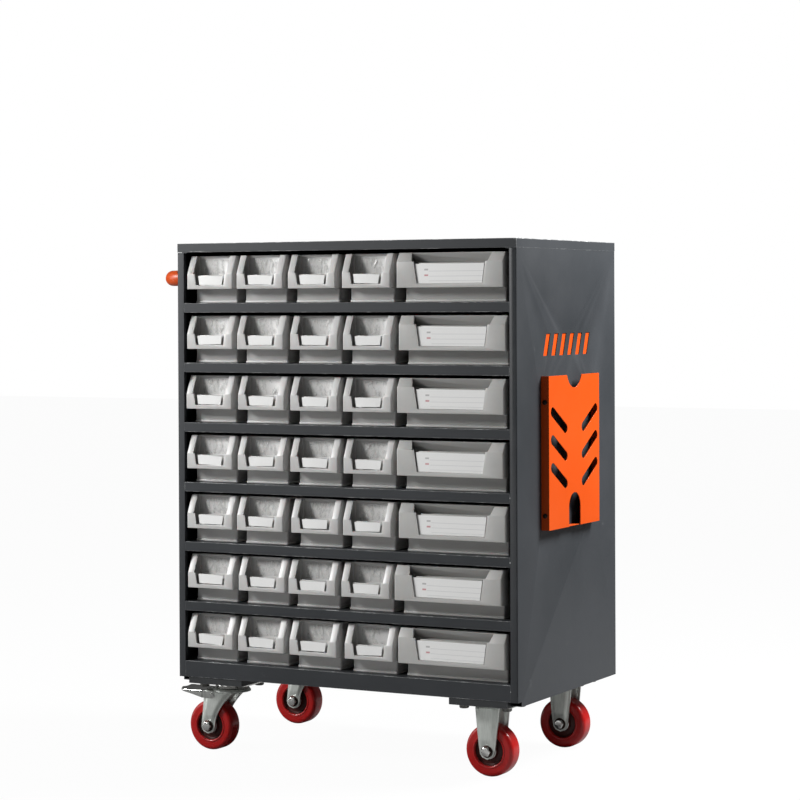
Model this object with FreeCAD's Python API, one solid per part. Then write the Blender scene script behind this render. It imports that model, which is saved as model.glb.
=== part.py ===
"""Parts organizer: a folded-steel cabinet on four casters, with seven rows of pull-out bins.

Working frame of this script: X to the right, Y to the back, Z up from the floor, with X = Y = 0
on the middle of the cabinet.  Everything is moved sideways by SHIFT when it is written, so that
the origin is the middle of the whole footprint, handle and side pocket included.
"""
import FreeCAD, Part
import math
import os

os.makedirs("parts", exist_ok=True)

# ---------------------------------------------------------------- driving dimensions, mm
CABINET_WIDTH = 600.0
CABINET_DEPTH = 375.0
TOP_HEIGHT = 816.0
PANEL_BOTTOM = 115.0
SHEET = 1.2
SEAM_HEIGHT = 801.8

FLANGE = 12.0
FLANGE_RETURN = 8.0
INNER_FLANGE = 18.0
CORNER_RELIEF_DEPTH = 14.0
CORNER_RELIEF_HEIGHT = 7.3

ROWS = 7
ROW_PITCH = 95.4
BASE_TOP = 148.3
BASE_LIP = 25.5
BASE_RETURN = 15.0
SHELF_LIP = 15.0
SHELF_RETURN = 8.0

SMALL_COLUMNS = 4
UNIT_PITCH = 95.5
BIN_HEIGHT = 75.0
BIN_LENGTH = 362.0
BIN_WALL = 2.0
BIN_LIFT = 0.3
HOOD_PROUD = 3.0
HOOD_DEPTH = 22.0
HOOD_BOTTOM = 22.0
HOOD_LIP = 6.3
CARD_RAIL_START = 7.2
CARD_RAIL = 1.5

CHANNEL_CENTRE = 233.0
CHANNEL_WIDTH = 98.0
CHANNEL_BOTTOM = 112.5
CHANNEL_SHEET = 2.5

CASTER_X = 233.0
CASTER_Y = 135.0
TRAIL = 33.0
PLATE_LENGTH = 90.0
PLATE_WIDTH = 70.0
PLATE_THICKNESS = 3.0
BOLT_SPACING_X = 72.0
BOLT_SPACING_Y = 50.0
BOLT_RADIUS = 4.0
BOLT_HOLE_RADIUS = 4.2
BOLT_HEAD_FLATS = 13.0
BOLT_HEAD_HEIGHT = 5.3

WHEEL_RADIUS = 40.0
WHEEL_WIDTH = 30.0
TYRE_INNER_RADIUS = 24.0
HUB_RADIUS = 12.0
HUB_WIDTH = 34.0
AXLE_RADIUS = 5.0
AXLE_CLEARANCE = 0.3
AXLE_HEAD_FLATS = 16.0
AXLE_HEAD_HEIGHT = 6.0
FORK_GAP = 36.0
FORK_SHEET = 3.0

HANDLE_HEIGHT = 761.5
HANDLE_TUBE_RADIUS = 12.5
HANDLE_TUBE_WALL = 1.5
HANDLE_REACH = 52.0
HANDLE_SPAN = 282.0
HANDLE_BEND = 30.0
HANDLE_FLANGE_RADIUS = 24.0
HANDLE_FLANGE_THICKNESS = 3.0

POCKET_WIDTH = 192.0
POCKET_HEIGHT = 234.5
POCKET_DEPTH = 13.0
POCKET_BOTTOM = 373.0
POCKET_MIDDLE = -5.0

ACCENT_BARS = 6
ACCENT_PITCH = 30.0
ACCENT_BAR_WIDTH = 15.0
ACCENT_LEAN = 12.0
ACCENT_BOTTOM = 638.0
ACCENT_HEIGHT = 34.0
ACCENT_MIDDLE = -4.0
ACCENT_MARGIN = 12.0

SCREW_RADIUS = 2.0
SCREW_HEAD_RADIUS = 3.8
SCREW_HEAD_HEIGHT = 2.0
BACK_SCREW_ROWS = 5

# ---------------------------------------------------------------- worked out from them
HALF_WIDTH = CABINET_WIDTH / 2
HALF_DEPTH = CABINET_DEPTH / 2
INSIDE_X = HALF_WIDTH - SHEET
INSIDE_BACK = HALF_DEPTH - 2 * SHEET
OPENING_X = HALF_WIDTH - FLANGE
POCKET_TOP = POCKET_BOTTOM + POCKET_HEIGHT
POCKET_FACE = HALF_WIDTH + POCKET_DEPTH
PLATE_BOTTOM = CHANNEL_BOTTOM - PLATE_THICKNESS
FORK_OUTSIDE = FORK_GAP / 2 + FORK_SHEET

X_AXIS = FreeCAD.Vector(1, 0, 0)
Y_AXIS = FreeCAD.Vector(0, 1, 0)
Z_AXIS = FreeCAD.Vector(0, 0, 1)


# ---------------------------------------------------------------- helpers
def block(x, y, z):
    """A box from three (low, high) pairs."""
    corner = FreeCAD.Vector(x[0], y[0], z[0])
    return Part.makeBox(x[1] - x[0], y[1] - y[0], z[1] - z[0], corner)


def mirrored_x(shape):
    """The same shape on the other side of the plane X = 0."""
    return shape.mirror(FreeCAD.Vector(0, 0, 0), X_AXIS)


def fused(shapes):
    """One solid from several that touch."""
    return shapes[0].multiFuse(shapes[1:]).removeSplitter()


def prism_x(outline, x_low, x_high):
    """An outline of (y, z) points pushed along X."""
    points = [FreeCAD.Vector(x_low, y, z) for y, z in outline]
    face = Part.Face(Part.makePolygon(points + points[:1]))
    return face.extrude(X_AXIS * (x_high - x_low))


def prism_y(outline, y_low, y_high):
    """An outline of (x, z) points pushed along Y."""
    points = [FreeCAD.Vector(x, y_low, z) for x, z in outline]
    face = Part.Face(Part.makePolygon(points + points[:1]))
    return face.extrude(Y_AXIS * (y_high - y_low))


def rod(radius, start, direction, length):
    """A round bar."""
    return Part.makeCylinder(radius, length, FreeCAD.Vector(*start), direction)


def hexagon(flats, start, direction, length):
    """A hexagonal bar with the given size across its flats."""
    corner_radius = flats / math.sqrt(3)
    turn = FreeCAD.Rotation(Z_AXIS, direction)
    points = []
    for corner in range(6):
        angle = math.radians(60 * corner)
        flat_point = FreeCAD.Vector(corner_radius * math.cos(angle), corner_radius * math.sin(angle), 0)
        points.append(FreeCAD.Vector(*start) + turn.multVec(flat_point))
    face = Part.Face(Part.makePolygon(points + points[:1]))
    return face.extrude(direction * length)


def group(shapes):
    """Several separate solids kept in one file."""
    return Part.makeCompound(shapes)


# ---------------------------------------------------------------- cabinet
def side_panel():
    """Left panel: a folded sheet with flanges front, back, top and bottom.

    The lower front corner is cut back where the folds would meet.
    """
    outer = -HALF_WIDTH
    skin = (outer, outer + SHEET)
    height = (PANEL_BOTTOM, SEAM_HEIGHT)
    sheets = [block(skin, (-HALF_DEPTH, HALF_DEPTH), height)]
    for side in (-1, 1):
        edge = side * HALF_DEPTH
        flange_y = sorted((edge, edge - side * SHEET))
        sheets.append(block((outer, outer + FLANGE), flange_y, height))
    fold_y = (-HALF_DEPTH, -HALF_DEPTH + FLANGE_RETURN)
    sheets.append(block((outer + FLANGE - SHEET, outer + FLANGE), fold_y, height))
    for low in (PANEL_BOTTOM, SEAM_HEIGHT - SHEET):
        inner_x = (outer, outer + INNER_FLANGE)
        inner_y = (-HALF_DEPTH, INSIDE_BACK)
        sheets.append(block(inner_x, inner_y, (low, low + SHEET)))
    relief = block((outer - SHEET, outer + INNER_FLANGE + SHEET),
                   (-HALF_DEPTH - SHEET, -HALF_DEPTH + CORNER_RELIEF_DEPTH),
                   (PANEL_BOTTOM - SHEET, PANEL_BOTTOM + CORNER_RELIEF_HEIGHT))
    holes = [back_screw_hole(x, z) for x, z in back_screw_places() if x < 0]
    return fused(sheets).cut([relief] + holes)


def accent_bar(index):
    """One slanted bar of the cut-out row, pushed through the right panel."""
    middle = ACCENT_MIDDLE + (index - (ACCENT_BARS - 1) / 2) * ACCENT_PITCH
    half = ACCENT_BAR_WIDTH / 2
    top = ACCENT_BOTTOM + ACCENT_HEIGHT
    outline = [
        (middle - half - ACCENT_LEAN / 2, ACCENT_BOTTOM),
        (middle + half - ACCENT_LEAN / 2, ACCENT_BOTTOM),
        (middle + half + ACCENT_LEAN / 2, top),
        (middle - half + ACCENT_LEAN / 2, top),
    ]
    return prism_x(outline, HALF_WIDTH - 2 * SHEET, HALF_WIDTH + SHEET)


def accent_plate():
    """Plain orange plate that shows through the slanted bars."""
    half = (ACCENT_BARS * ACCENT_PITCH) / 2 + ACCENT_MARGIN
    y_range = (ACCENT_MIDDLE - half, ACCENT_MIDDLE + half)
    z_range = (ACCENT_BOTTOM - ACCENT_MARGIN, ACCENT_BOTTOM + ACCENT_HEIGHT + ACCENT_MARGIN)
    return block((INSIDE_X - SHEET, INSIDE_X), y_range, z_range)


POCKET_SCREW_HEIGHTS = (POCKET_BOTTOM + 22.0, POCKET_TOP - 40.0)
TAB_HEIGHT = 14.0
TAB_REACH = 10.0


def pocket_screw_middles():
    """(y of the pocket's outer side face, outward direction, z) of each side screw."""
    places = []
    for side in (-1, 1):
        for height in POCKET_SCREW_HEIGHTS:
            places.append((POCKET_MIDDLE + side * POCKET_WIDTH / 2, side, height))
    return places


def side_screw_hole(face_y, side, height):
    """Bore along Y through a pocket side and the tab behind it."""
    start = (HALF_WIDTH + TAB_REACH / 2 + SHEET, face_y + side * SHEET, height)
    return rod(SCREW_RADIUS, start, Y_AXIS * -side, 4 * SHEET)


def right_side_panel():
    """Mirror of the left panel, with the accent bars cut out and tabs that hold the pocket."""
    panel = mirrored_x(side_panel())
    tabs = []
    for face_y, side, height in pocket_screw_middles():
        tab_y = sorted((face_y - side * SHEET, face_y - side * 2 * SHEET))
        tab_z = (height - TAB_HEIGHT / 2, height + TAB_HEIGHT / 2)
        tabs.append(block((HALF_WIDTH, HALF_WIDTH + TAB_REACH), tab_y, tab_z))
    panel = fused([panel] + tabs)
    cuts = [accent_bar(index) for index in range(ACCENT_BARS)]
    cuts += [side_screw_hole(*place) for place in pocket_screw_middles()]
    return panel.cut(cuts)


def top_cover():
    """Shallow tray turned upside down, flush with the panels below it."""
    outside = block((-HALF_WIDTH, HALF_WIDTH), (-HALF_DEPTH, HALF_DEPTH), (SEAM_HEIGHT, TOP_HEIGHT))
    inside_y = (-HALF_DEPTH + SHEET, HALF_DEPTH - SHEET)
    inside = block((-INSIDE_X, INSIDE_X), inside_y, (SEAM_HEIGHT, TOP_HEIGHT - SHEET))
    return outside.cut(inside)


def back_screw_places():
    """(x, z) of the screws through the rear flanges."""
    low = PANEL_BOTTOM + 40.0
    step = (SEAM_HEIGHT - 40.0 - low) / (BACK_SCREW_ROWS - 1)
    middle = HALF_WIDTH - FLANGE / 2
    return [(side * middle, low + row * step) for side in (-1, 1) for row in range(BACK_SCREW_ROWS)]


def back_screw_hole(x, z):
    """Bore along Y through a rear flange and the back panel."""
    return rod(SCREW_RADIUS, (x, HALF_DEPTH + SHEET, z), -Y_AXIS, 4 * SHEET)


def back_panel():
    """Flat sheet held behind the rear flanges."""
    sheet = block((-INSIDE_X, INSIDE_X), (INSIDE_BACK, INSIDE_BACK + SHEET),
                  (PANEL_BOTTOM, SEAM_HEIGHT))
    return sheet.cut([back_screw_hole(x, z) for x, z in back_screw_places()])


def folded_deck(top, lip, fold):
    """A level sheet with a lip folded down along each edge, and a fold back under the front."""
    notch = -HALF_DEPTH + FLANGE_RETURN
    low = top - lip
    drop = (low, top)
    skin = (top - SHEET, top)
    sheets = [
        block((-OPENING_X, OPENING_X), (-HALF_DEPTH, INSIDE_BACK), skin),
        block((-INSIDE_X, INSIDE_X), (notch, INSIDE_BACK), skin),
        block((-OPENING_X, OPENING_X), (-HALF_DEPTH, -HALF_DEPTH + SHEET), drop),
        block((-OPENING_X, OPENING_X), (-HALF_DEPTH, -HALF_DEPTH + fold), (low, low + SHEET)),
        block((-INSIDE_X, INSIDE_X), (INSIDE_BACK - SHEET, INSIDE_BACK), drop),
        block((-INSIDE_X, SHEET - INSIDE_X), (notch, INSIDE_BACK), drop),
        block((INSIDE_X - SHEET, INSIDE_X), (notch, INSIDE_BACK), drop),
    ]
    return fused(sheets)


def shelf_top(row):
    """Height of the deck that carries a row of bins; row 1 is the top row."""
    return BASE_TOP + (ROWS - row) * ROW_PITCH


def shelves():
    """The six decks between the rows."""
    return group([folded_deck(shelf_top(row), SHELF_LIP, SHELF_RETURN) for row in range(1, ROWS)])


def base_panel():
    """The deepest deck, at the foot of the cabinet."""
    deck = folded_deck(BASE_TOP, BASE_LIP, BASE_RETURN)
    low = BASE_TOP - BASE_LIP
    rear_fold = block((-INSIDE_X, INSIDE_X), (INSIDE_BACK - BASE_RETURN, INSIDE_BACK), (low, low + SHEET))
    return fused([deck, rear_fold])


def caster_places():
    """(x, y) of the middle of each caster plate: right pair rigid, left pair swivelling."""
    return [(x, y) for x in (CASTER_X, -CASTER_X) for y in (-CASTER_Y, CASTER_Y)]


def bolt_places(x, y):
    """(x, y) of the four bolts of one caster plate."""
    return [(x + i * BOLT_SPACING_X / 2, y + j * BOLT_SPACING_Y / 2) for i in (-1, 1) for j in (-1, 1)]


def caster_mounts():
    """Two shallow channels, front to back, that carry the casters."""
    channels = []
    top = BASE_TOP - BASE_LIP
    ends = (-HALF_DEPTH + SHEET, INSIDE_BACK)
    for middle in (-CHANNEL_CENTRE, CHANNEL_CENTRE):
        low_x = middle - CHANNEL_WIDTH / 2
        high_x = middle + CHANNEL_WIDTH / 2
        outside = block((low_x, high_x), ends, (CHANNEL_BOTTOM, top))
        inside_x = (low_x + CHANNEL_SHEET, high_x - CHANNEL_SHEET)
        inside_y = (ends[0] + CHANNEL_SHEET, ends[1] - CHANNEL_SHEET)
        inside = block(inside_x, inside_y, (CHANNEL_BOTTOM + CHANNEL_SHEET, top))
        holes = []
        for x, y in caster_places():
            if x * middle > 0:
                for hole_x, hole_y in bolt_places(x, y):
                    start = (hole_x, hole_y, CHANNEL_BOTTOM - SHEET)
                    holes.append(rod(BOLT_HOLE_RADIUS, start, Z_AXIS, 2 * CHANNEL_SHEET))
        channels.append(outside.cut([inside] + holes))
    return group(channels)


def handle_run(radius):
    """The handle's path as one solid: two legs, two bends and the grip between them."""
    wall = -HALF_WIDTH
    grip_x = wall - HANDLE_REACH
    leg = HANDLE_REACH - HANDLE_BEND
    half = HANDLE_SPAN / 2
    pieces = []
    for side in (-1, 1):
        leg_y = side * half
        pieces.append(rod(radius, (wall, leg_y, HANDLE_HEIGHT), -X_AXIS, leg))
        middle = FreeCAD.Vector(wall - leg, leg_y - side * HANDLE_BEND, HANDLE_HEIGHT)
        circle = Part.makeCircle(radius, FreeCAD.Vector(wall - leg, leg_y, HANDLE_HEIGHT), X_AXIS)
        section = Part.Face(Part.Wire([circle]))
        pieces.append(section.revolve(middle, Z_AXIS * side, 90))
    grip_start = (grip_x, -half + HANDLE_BEND, HANDLE_HEIGHT)
    pieces.append(rod(radius, grip_start, Y_AXIS, HANDLE_SPAN - 2 * HANDLE_BEND))
    return fused(pieces)


def push_handle():
    """Bent tube with a round flange welded on at each foot."""
    tube = handle_run(HANDLE_TUBE_RADIUS).cut(handle_run(HANDLE_TUBE_RADIUS - HANDLE_TUBE_WALL))
    solids = [tube]
    for side in (-1, 1):
        foot = (-HALF_WIDTH, side * HANDLE_SPAN / 2, HANDLE_HEIGHT)
        disc = rod(HANDLE_FLANGE_RADIUS, foot, -X_AXIS, HANDLE_FLANGE_THICKNESS)
        solids.append(disc.cut(rod(HANDLE_TUBE_RADIUS, foot, -X_AXIS, HANDLE_REACH / 2)))
    return group(solids)


# ---------------------------------------------------------------- side pocket
SLOT_WIDTH = 15.0
SLOT_PITCH = 42.5
SLOT_ROWS = 3
SLOT_OUTER = 81.5
SLOT_INNER = 34.5
SLOT_DROP = 27.0
SLOT_FIRST = 55.0
TOP_NOTCH_RADIUS = 29.5
TOP_NOTCH_DEPTH = 20.0
LOW_NOTCH_WIDTH = 44.0
LOW_NOTCH_HEIGHT = 52.0


def round_ended_slot(y_start, z_start, y_end, z_end):
    """A slot with round ends through the pocket's face plate, between two points."""
    low_x = POCKET_FACE - 2 * SHEET
    depth = 3 * SHEET
    along_y = y_end - y_start
    along_z = z_end - z_start
    length = math.hypot(along_y, along_z)
    side_y = -along_z / length * SLOT_WIDTH / 2
    side_z = along_y / length * SLOT_WIDTH / 2
    outline = [
        (y_start + side_y, z_start + side_z),
        (y_end + side_y, z_end + side_z),
        (y_end - side_y, z_end - side_z),
        (y_start - side_y, z_start - side_z),
    ]
    ends = [rod(SLOT_WIDTH / 2, (low_x, y, z), X_AXIS, depth)
            for y, z in ((y_start, z_start), (y_end, z_end))]
    return fused([prism_x(outline, low_x, low_x + depth)] + ends)


def pocket_cuts():
    """Herringbone slots, the round notch at the top and the arched one at the bottom."""
    cuts = []
    for side in (-1, 1):
        for row in range(SLOT_ROWS):
            high = POCKET_TOP - SLOT_FIRST - row * SLOT_PITCH
            outer_y = POCKET_MIDDLE + side * SLOT_OUTER
            inner_y = POCKET_MIDDLE + side * SLOT_INNER
            cuts.append(round_ended_slot(outer_y, high, inner_y, high - SLOT_DROP))
    low_x = POCKET_FACE - 2 * SHEET
    depth = 3 * SHEET
    notch_middle = POCKET_TOP + TOP_NOTCH_RADIUS - TOP_NOTCH_DEPTH
    cuts.append(rod(TOP_NOTCH_RADIUS, (low_x, POCKET_MIDDLE, notch_middle), X_AXIS, depth))
    arch_middle = POCKET_BOTTOM + LOW_NOTCH_HEIGHT - LOW_NOTCH_WIDTH / 2
    arch = rod(LOW_NOTCH_WIDTH / 2, (low_x, POCKET_MIDDLE, arch_middle), X_AXIS, depth)
    leg_y = (POCKET_MIDDLE - LOW_NOTCH_WIDTH / 2, POCKET_MIDDLE + LOW_NOTCH_WIDTH / 2)
    leg = block((low_x, low_x + depth), leg_y, (POCKET_BOTTOM - SHEET, arch_middle))
    cuts.append(fused([arch, leg]))
    return cuts


def side_pocket():
    """Flat pocket, open at the top, with a face plate, two sides and a floor."""
    low_y = POCKET_MIDDLE - POCKET_WIDTH / 2
    high_y = POCKET_MIDDLE + POCKET_WIDTH / 2
    whole_x = (HALF_WIDTH, POCKET_FACE)
    whole_z = (POCKET_BOTTOM, POCKET_TOP)
    sheets = [
        block((POCKET_FACE - SHEET, POCKET_FACE), (low_y, high_y), whole_z),
        block(whole_x, (low_y, low_y + SHEET), whole_z),
        block(whole_x, (high_y - SHEET, high_y), whole_z),
        block(whole_x, (low_y, high_y), (POCKET_BOTTOM, POCKET_BOTTOM + SHEET)),
    ]
    cuts = pocket_cuts()
    cuts += [side_screw_hole(*place) for place in pocket_screw_middles()]
    return fused(sheets).cut(cuts)


# ---------------------------------------------------------------- screws
def pan_screw(start, direction):
    """A pan-head screw: head outside the face at start, shank through two sheets."""
    head = rod(SCREW_HEAD_RADIUS, start, direction, SCREW_HEAD_HEIGHT)
    shank = rod(SCREW_RADIUS, start, -direction, 2 * SHEET)
    return fused([head, shank])


def panel_screws():
    """Screws of the back panel and of the side pocket."""
    screws = [pan_screw((x, HALF_DEPTH, z), Y_AXIS) for x, z in back_screw_places()]
    for face_y, side, height in pocket_screw_middles():
        start = (HALF_WIDTH + TAB_REACH / 2 + SHEET, face_y, height)
        screws.append(pan_screw(start, Y_AXIS * side))
    return group(screws)


# ---------------------------------------------------------------- casters
def drilled_plate(x, y):
    """Caster top plate with its four bolt holes."""
    plate_x = (x - PLATE_LENGTH / 2, x + PLATE_LENGTH / 2)
    plate_y = (y - PLATE_WIDTH / 2, y + PLATE_WIDTH / 2)
    plate = block(plate_x, plate_y, (PLATE_BOTTOM, CHANNEL_BOTTOM))
    holes = [rod(BOLT_HOLE_RADIUS, (hx, hy, PLATE_BOTTOM - SHEET), Z_AXIS, 2 * PLATE_THICKNESS)
             for hx, hy in bolt_places(x, y)]
    return plate.cut(holes)


def fork_leg(outline, x, y_low):
    """One pressed leg: a sheet with a tapering outline and a round foot about the axle."""
    foot_radius = outline["foot_radius"]
    foot_x = x + outline["foot_x"]
    top = outline["top"]
    points = [
        (x + outline["top_low_x"], top),
        (x + outline["top_high_x"], top),
        (foot_x + foot_radius, WHEEL_RADIUS),
        (foot_x - foot_radius, WHEEL_RADIUS),
    ]
    blade = prism_y(points, y_low, y_low + FORK_SHEET)
    foot = rod(foot_radius, (foot_x, y_low, WHEEL_RADIUS), Y_AXIS, FORK_SHEET)
    hole = rod(AXLE_RADIUS, (foot_x, y_low - SHEET, WHEEL_RADIUS), Y_AXIS, 2 * FORK_SHEET)
    return fused([blade, foot]).cut(hole)


RIGID_LEG = {"top": PLATE_BOTTOM, "top_low_x": -20.0, "top_high_x": 20.0,
             "foot_x": 0.0, "foot_radius": 12.5}
CROWN_TOP = 101.5
CROWN_THICKNESS = 3.0
CROWN_RADIUS = 30.0
SWIVEL_LEG = {"top": CROWN_TOP - CROWN_THICKNESS, "top_low_x": -39.0, "top_high_x": 17.0,
              "foot_x": -TRAIL, "foot_radius": 12.5}


def fork_legs(outline, x, y):
    """Both legs of a fork, either side of the wheel."""
    return [fork_leg(outline, x, y - FORK_OUTSIDE), fork_leg(outline, x, y + FORK_GAP / 2)]


def rigid_fork(y):
    """Top plate and two legs pressed from one sheet."""
    return fused([drilled_plate(CASTER_X, y)] + fork_legs(RIGID_LEG, CASTER_X, y))


KING_PIN_RADIUS = 6.0
KING_PIN_CLEARANCE = 0.3
KING_PIN_HEAD_RADIUS = 9.0
KING_PIN_HEAD = 3.0
RACE_GAP = 1.0
RACE_RADIUS = 26.0


def swivel_top_plate(y):
    """Fixed plate of a swivel caster, with its raised race and the king pin through it."""
    x = -CASTER_X
    crown_bottom = CROWN_TOP - CROWN_THICKNESS
    pin_low = crown_bottom - RACE_GAP - KING_PIN_HEAD
    race = rod(RACE_RADIUS, (x, y, CROWN_TOP + RACE_GAP), Z_AXIS, PLATE_BOTTOM - CROWN_TOP - RACE_GAP)
    pin = rod(KING_PIN_RADIUS, (x, y, pin_low), Z_AXIS, PLATE_BOTTOM - pin_low)
    head = rod(KING_PIN_HEAD_RADIUS, (x, y, pin_low), Z_AXIS, KING_PIN_HEAD)
    return fused([drilled_plate(x, y), race, pin, head])


PEDAL_PIVOT_X = -24.0
PEDAL_PIVOT_Z = 90.5
PEDAL_PIN_RADIUS = 2.5
PEDAL_PIN_CLEARANCE = 0.3


def pedal_bore(x, y, radius, half_length):
    """The pedal's hinge line as a round bar along Y."""
    start = (x + PEDAL_PIVOT_X, y - half_length, PEDAL_PIVOT_Z)
    return rod(radius, start, Y_AXIS, 2 * half_length)


def swivel_fork(y):
    """Round crown with two trailing legs, and the hinge pin of the brake pedal."""
    x = -CASTER_X
    crown = rod(CROWN_RADIUS, (x, y, CROWN_TOP - CROWN_THICKNESS), Z_AXIS, CROWN_THICKNESS)
    bridge_y = (y - FORK_OUTSIDE, y + FORK_OUTSIDE)
    bridge_z = (CROWN_TOP - CROWN_THICKNESS, CROWN_TOP)
    bridge = block((x + SWIVEL_LEG["top_low_x"], x), bridge_y, bridge_z)
    king_hole = rod(KING_PIN_RADIUS + KING_PIN_CLEARANCE, (x, y, PEDAL_PIVOT_Z), Z_AXIS, 20.0)
    body = fused([crown, bridge] + fork_legs(SWIVEL_LEG, x, y)).cut(king_hole)
    pin = pedal_bore(x, y, PEDAL_PIN_RADIUS, FORK_OUTSIDE + 4.5)
    return fused([body, pin])


PEDAL_TIP_X = -92.0
PEDAL_BEND_X = -42.0
PEDAL_SHEET = 2.0
PEDAL_TOP = 97.5
PEDAL_SIDE_GAP = 0.8


def brake_pedal(y):
    """Foot pedal: a flat tongue with two tapering sides that hang on the hinge pin."""
    x = -CASTER_X
    side_inner = FORK_OUTSIDE + PEDAL_SIDE_GAP
    side_outer = side_inner + PEDAL_SHEET
    tongue_y = (y - side_outer, y + side_outer)
    tongue = block((x + PEDAL_TIP_X, x + PEDAL_BEND_X), tongue_y, (PEDAL_TOP - PEDAL_SHEET, PEDAL_TOP))
    outline = [
        (x + PEDAL_TIP_X, PEDAL_TOP),
        (x + PEDAL_BEND_X, PEDAL_TOP),
        (x + PEDAL_PIVOT_X + 5.5, PEDAL_TOP - 2.0),
        (x + PEDAL_PIVOT_X + 5.5, PEDAL_PIVOT_Z - 5.5),
        (x + PEDAL_PIVOT_X - 10.0, PEDAL_PIVOT_Z - 8.0),
        (x + PEDAL_TIP_X, PEDAL_TOP - 5.0),
    ]
    sides = [prism_y(outline, y - side_outer, y - side_inner),
             prism_y(outline, y + side_inner, y + side_outer)]
    bore = pedal_bore(x, y, PEDAL_PIN_RADIUS + PEDAL_PIN_CLEARANCE, 2 * FORK_OUTSIDE)
    return fused([tongue] + sides).cut(bore)


def axle(x, y):
    """Axle bolt with a hexagon head in front and a nut behind."""
    low = y - FORK_OUTSIDE
    high = y + FORK_OUTSIDE
    shank = rod(AXLE_RADIUS, (x, low, WHEEL_RADIUS), Y_AXIS, high - low + AXLE_HEAD_HEIGHT)
    head = hexagon(AXLE_HEAD_FLATS, (x, low, WHEEL_RADIUS), -Y_AXIS, AXLE_HEAD_HEIGHT)
    nut = hexagon(AXLE_HEAD_FLATS, (x, high, WHEEL_RADIUS), Y_AXIS, AXLE_HEAD_HEIGHT)
    return fused([shank, head, nut])


SHOULDER = 4.0
WEB_WIDTH = 18.0


def turned_ring(profile, x, y):
    """A ring about the axle, from (radius, distance along the axle) points."""
    points = [FreeCAD.Vector(x, y + along, WHEEL_RADIUS + radius) for radius, along in profile]
    face = Part.Face(Part.makePolygon(points + points[:1]))
    return face.revolve(FreeCAD.Vector(x, y, WHEEL_RADIUS), Y_AXIS, 360)


def wheel(x, y):
    """Moulded tyre on a core with a longer hub."""
    half = WHEEL_WIDTH / 2
    tyre = turned_ring([
        (TYRE_INNER_RADIUS, -half),
        (WHEEL_RADIUS - SHOULDER, -half),
        (WHEEL_RADIUS, -half + SHOULDER),
        (WHEEL_RADIUS, half - SHOULDER),
        (WHEEL_RADIUS - SHOULDER, half),
        (TYRE_INNER_RADIUS, half),
    ], x, y)
    bore = AXLE_RADIUS + AXLE_CLEARANCE
    core = turned_ring([
        (bore, -HUB_WIDTH / 2),
        (HUB_RADIUS, -HUB_WIDTH / 2),
        (HUB_RADIUS, -WEB_WIDTH / 2),
        (TYRE_INNER_RADIUS, -WEB_WIDTH / 2),
        (TYRE_INNER_RADIUS, WEB_WIDTH / 2),
        (HUB_RADIUS, WEB_WIDTH / 2),
        (HUB_RADIUS, HUB_WIDTH / 2),
        (bore, HUB_WIDTH / 2),
    ], x, y)
    return group([tyre, core])


def caster_bolts():
    """Sixteen bolts that hold the four caster plates to the channels."""
    bolts = []
    for x, y in caster_places():
        for bolt_x, bolt_y in bolt_places(x, y):
            start = (bolt_x, bolt_y, PLATE_BOTTOM)
            head = hexagon(BOLT_HEAD_FLATS, start, -Z_AXIS, BOLT_HEAD_HEIGHT)
            shank = rod(BOLT_RADIUS, start, Z_AXIS, PLATE_THICKNESS + CHANNEL_SHEET + 6.0)
            nut_start = (bolt_x, bolt_y, CHANNEL_BOTTOM + CHANNEL_SHEET)
            nut = hexagon(BOLT_HEAD_FLATS, nut_start, Z_AXIS, 5.0)
            bolts.append(fused([head, shank, nut]))
    return group(bolts)


# ---------------------------------------------------------------- bins
SMALL_BIN = {"hood": 85.5, "body": 77.0, "fold": 46.0, "setback": 13.0, "wing": 12.2, "wing_top": 12.2,
             "slot_low": 51.0, "slot_high": 55.5, "wall_setback": 22.0}
LARGE_BIN = {"hood": 181.0, "body": 170.5, "fold": 61.3, "setback": 9.0, "wing": 26.5, "wing_top": 22.5,
             "slot_low": 111.0, "slot_high": 121.0, "wall_setback": 9.0}
HOOD_FRONT = -HALF_DEPTH - HOOD_PROUD


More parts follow.
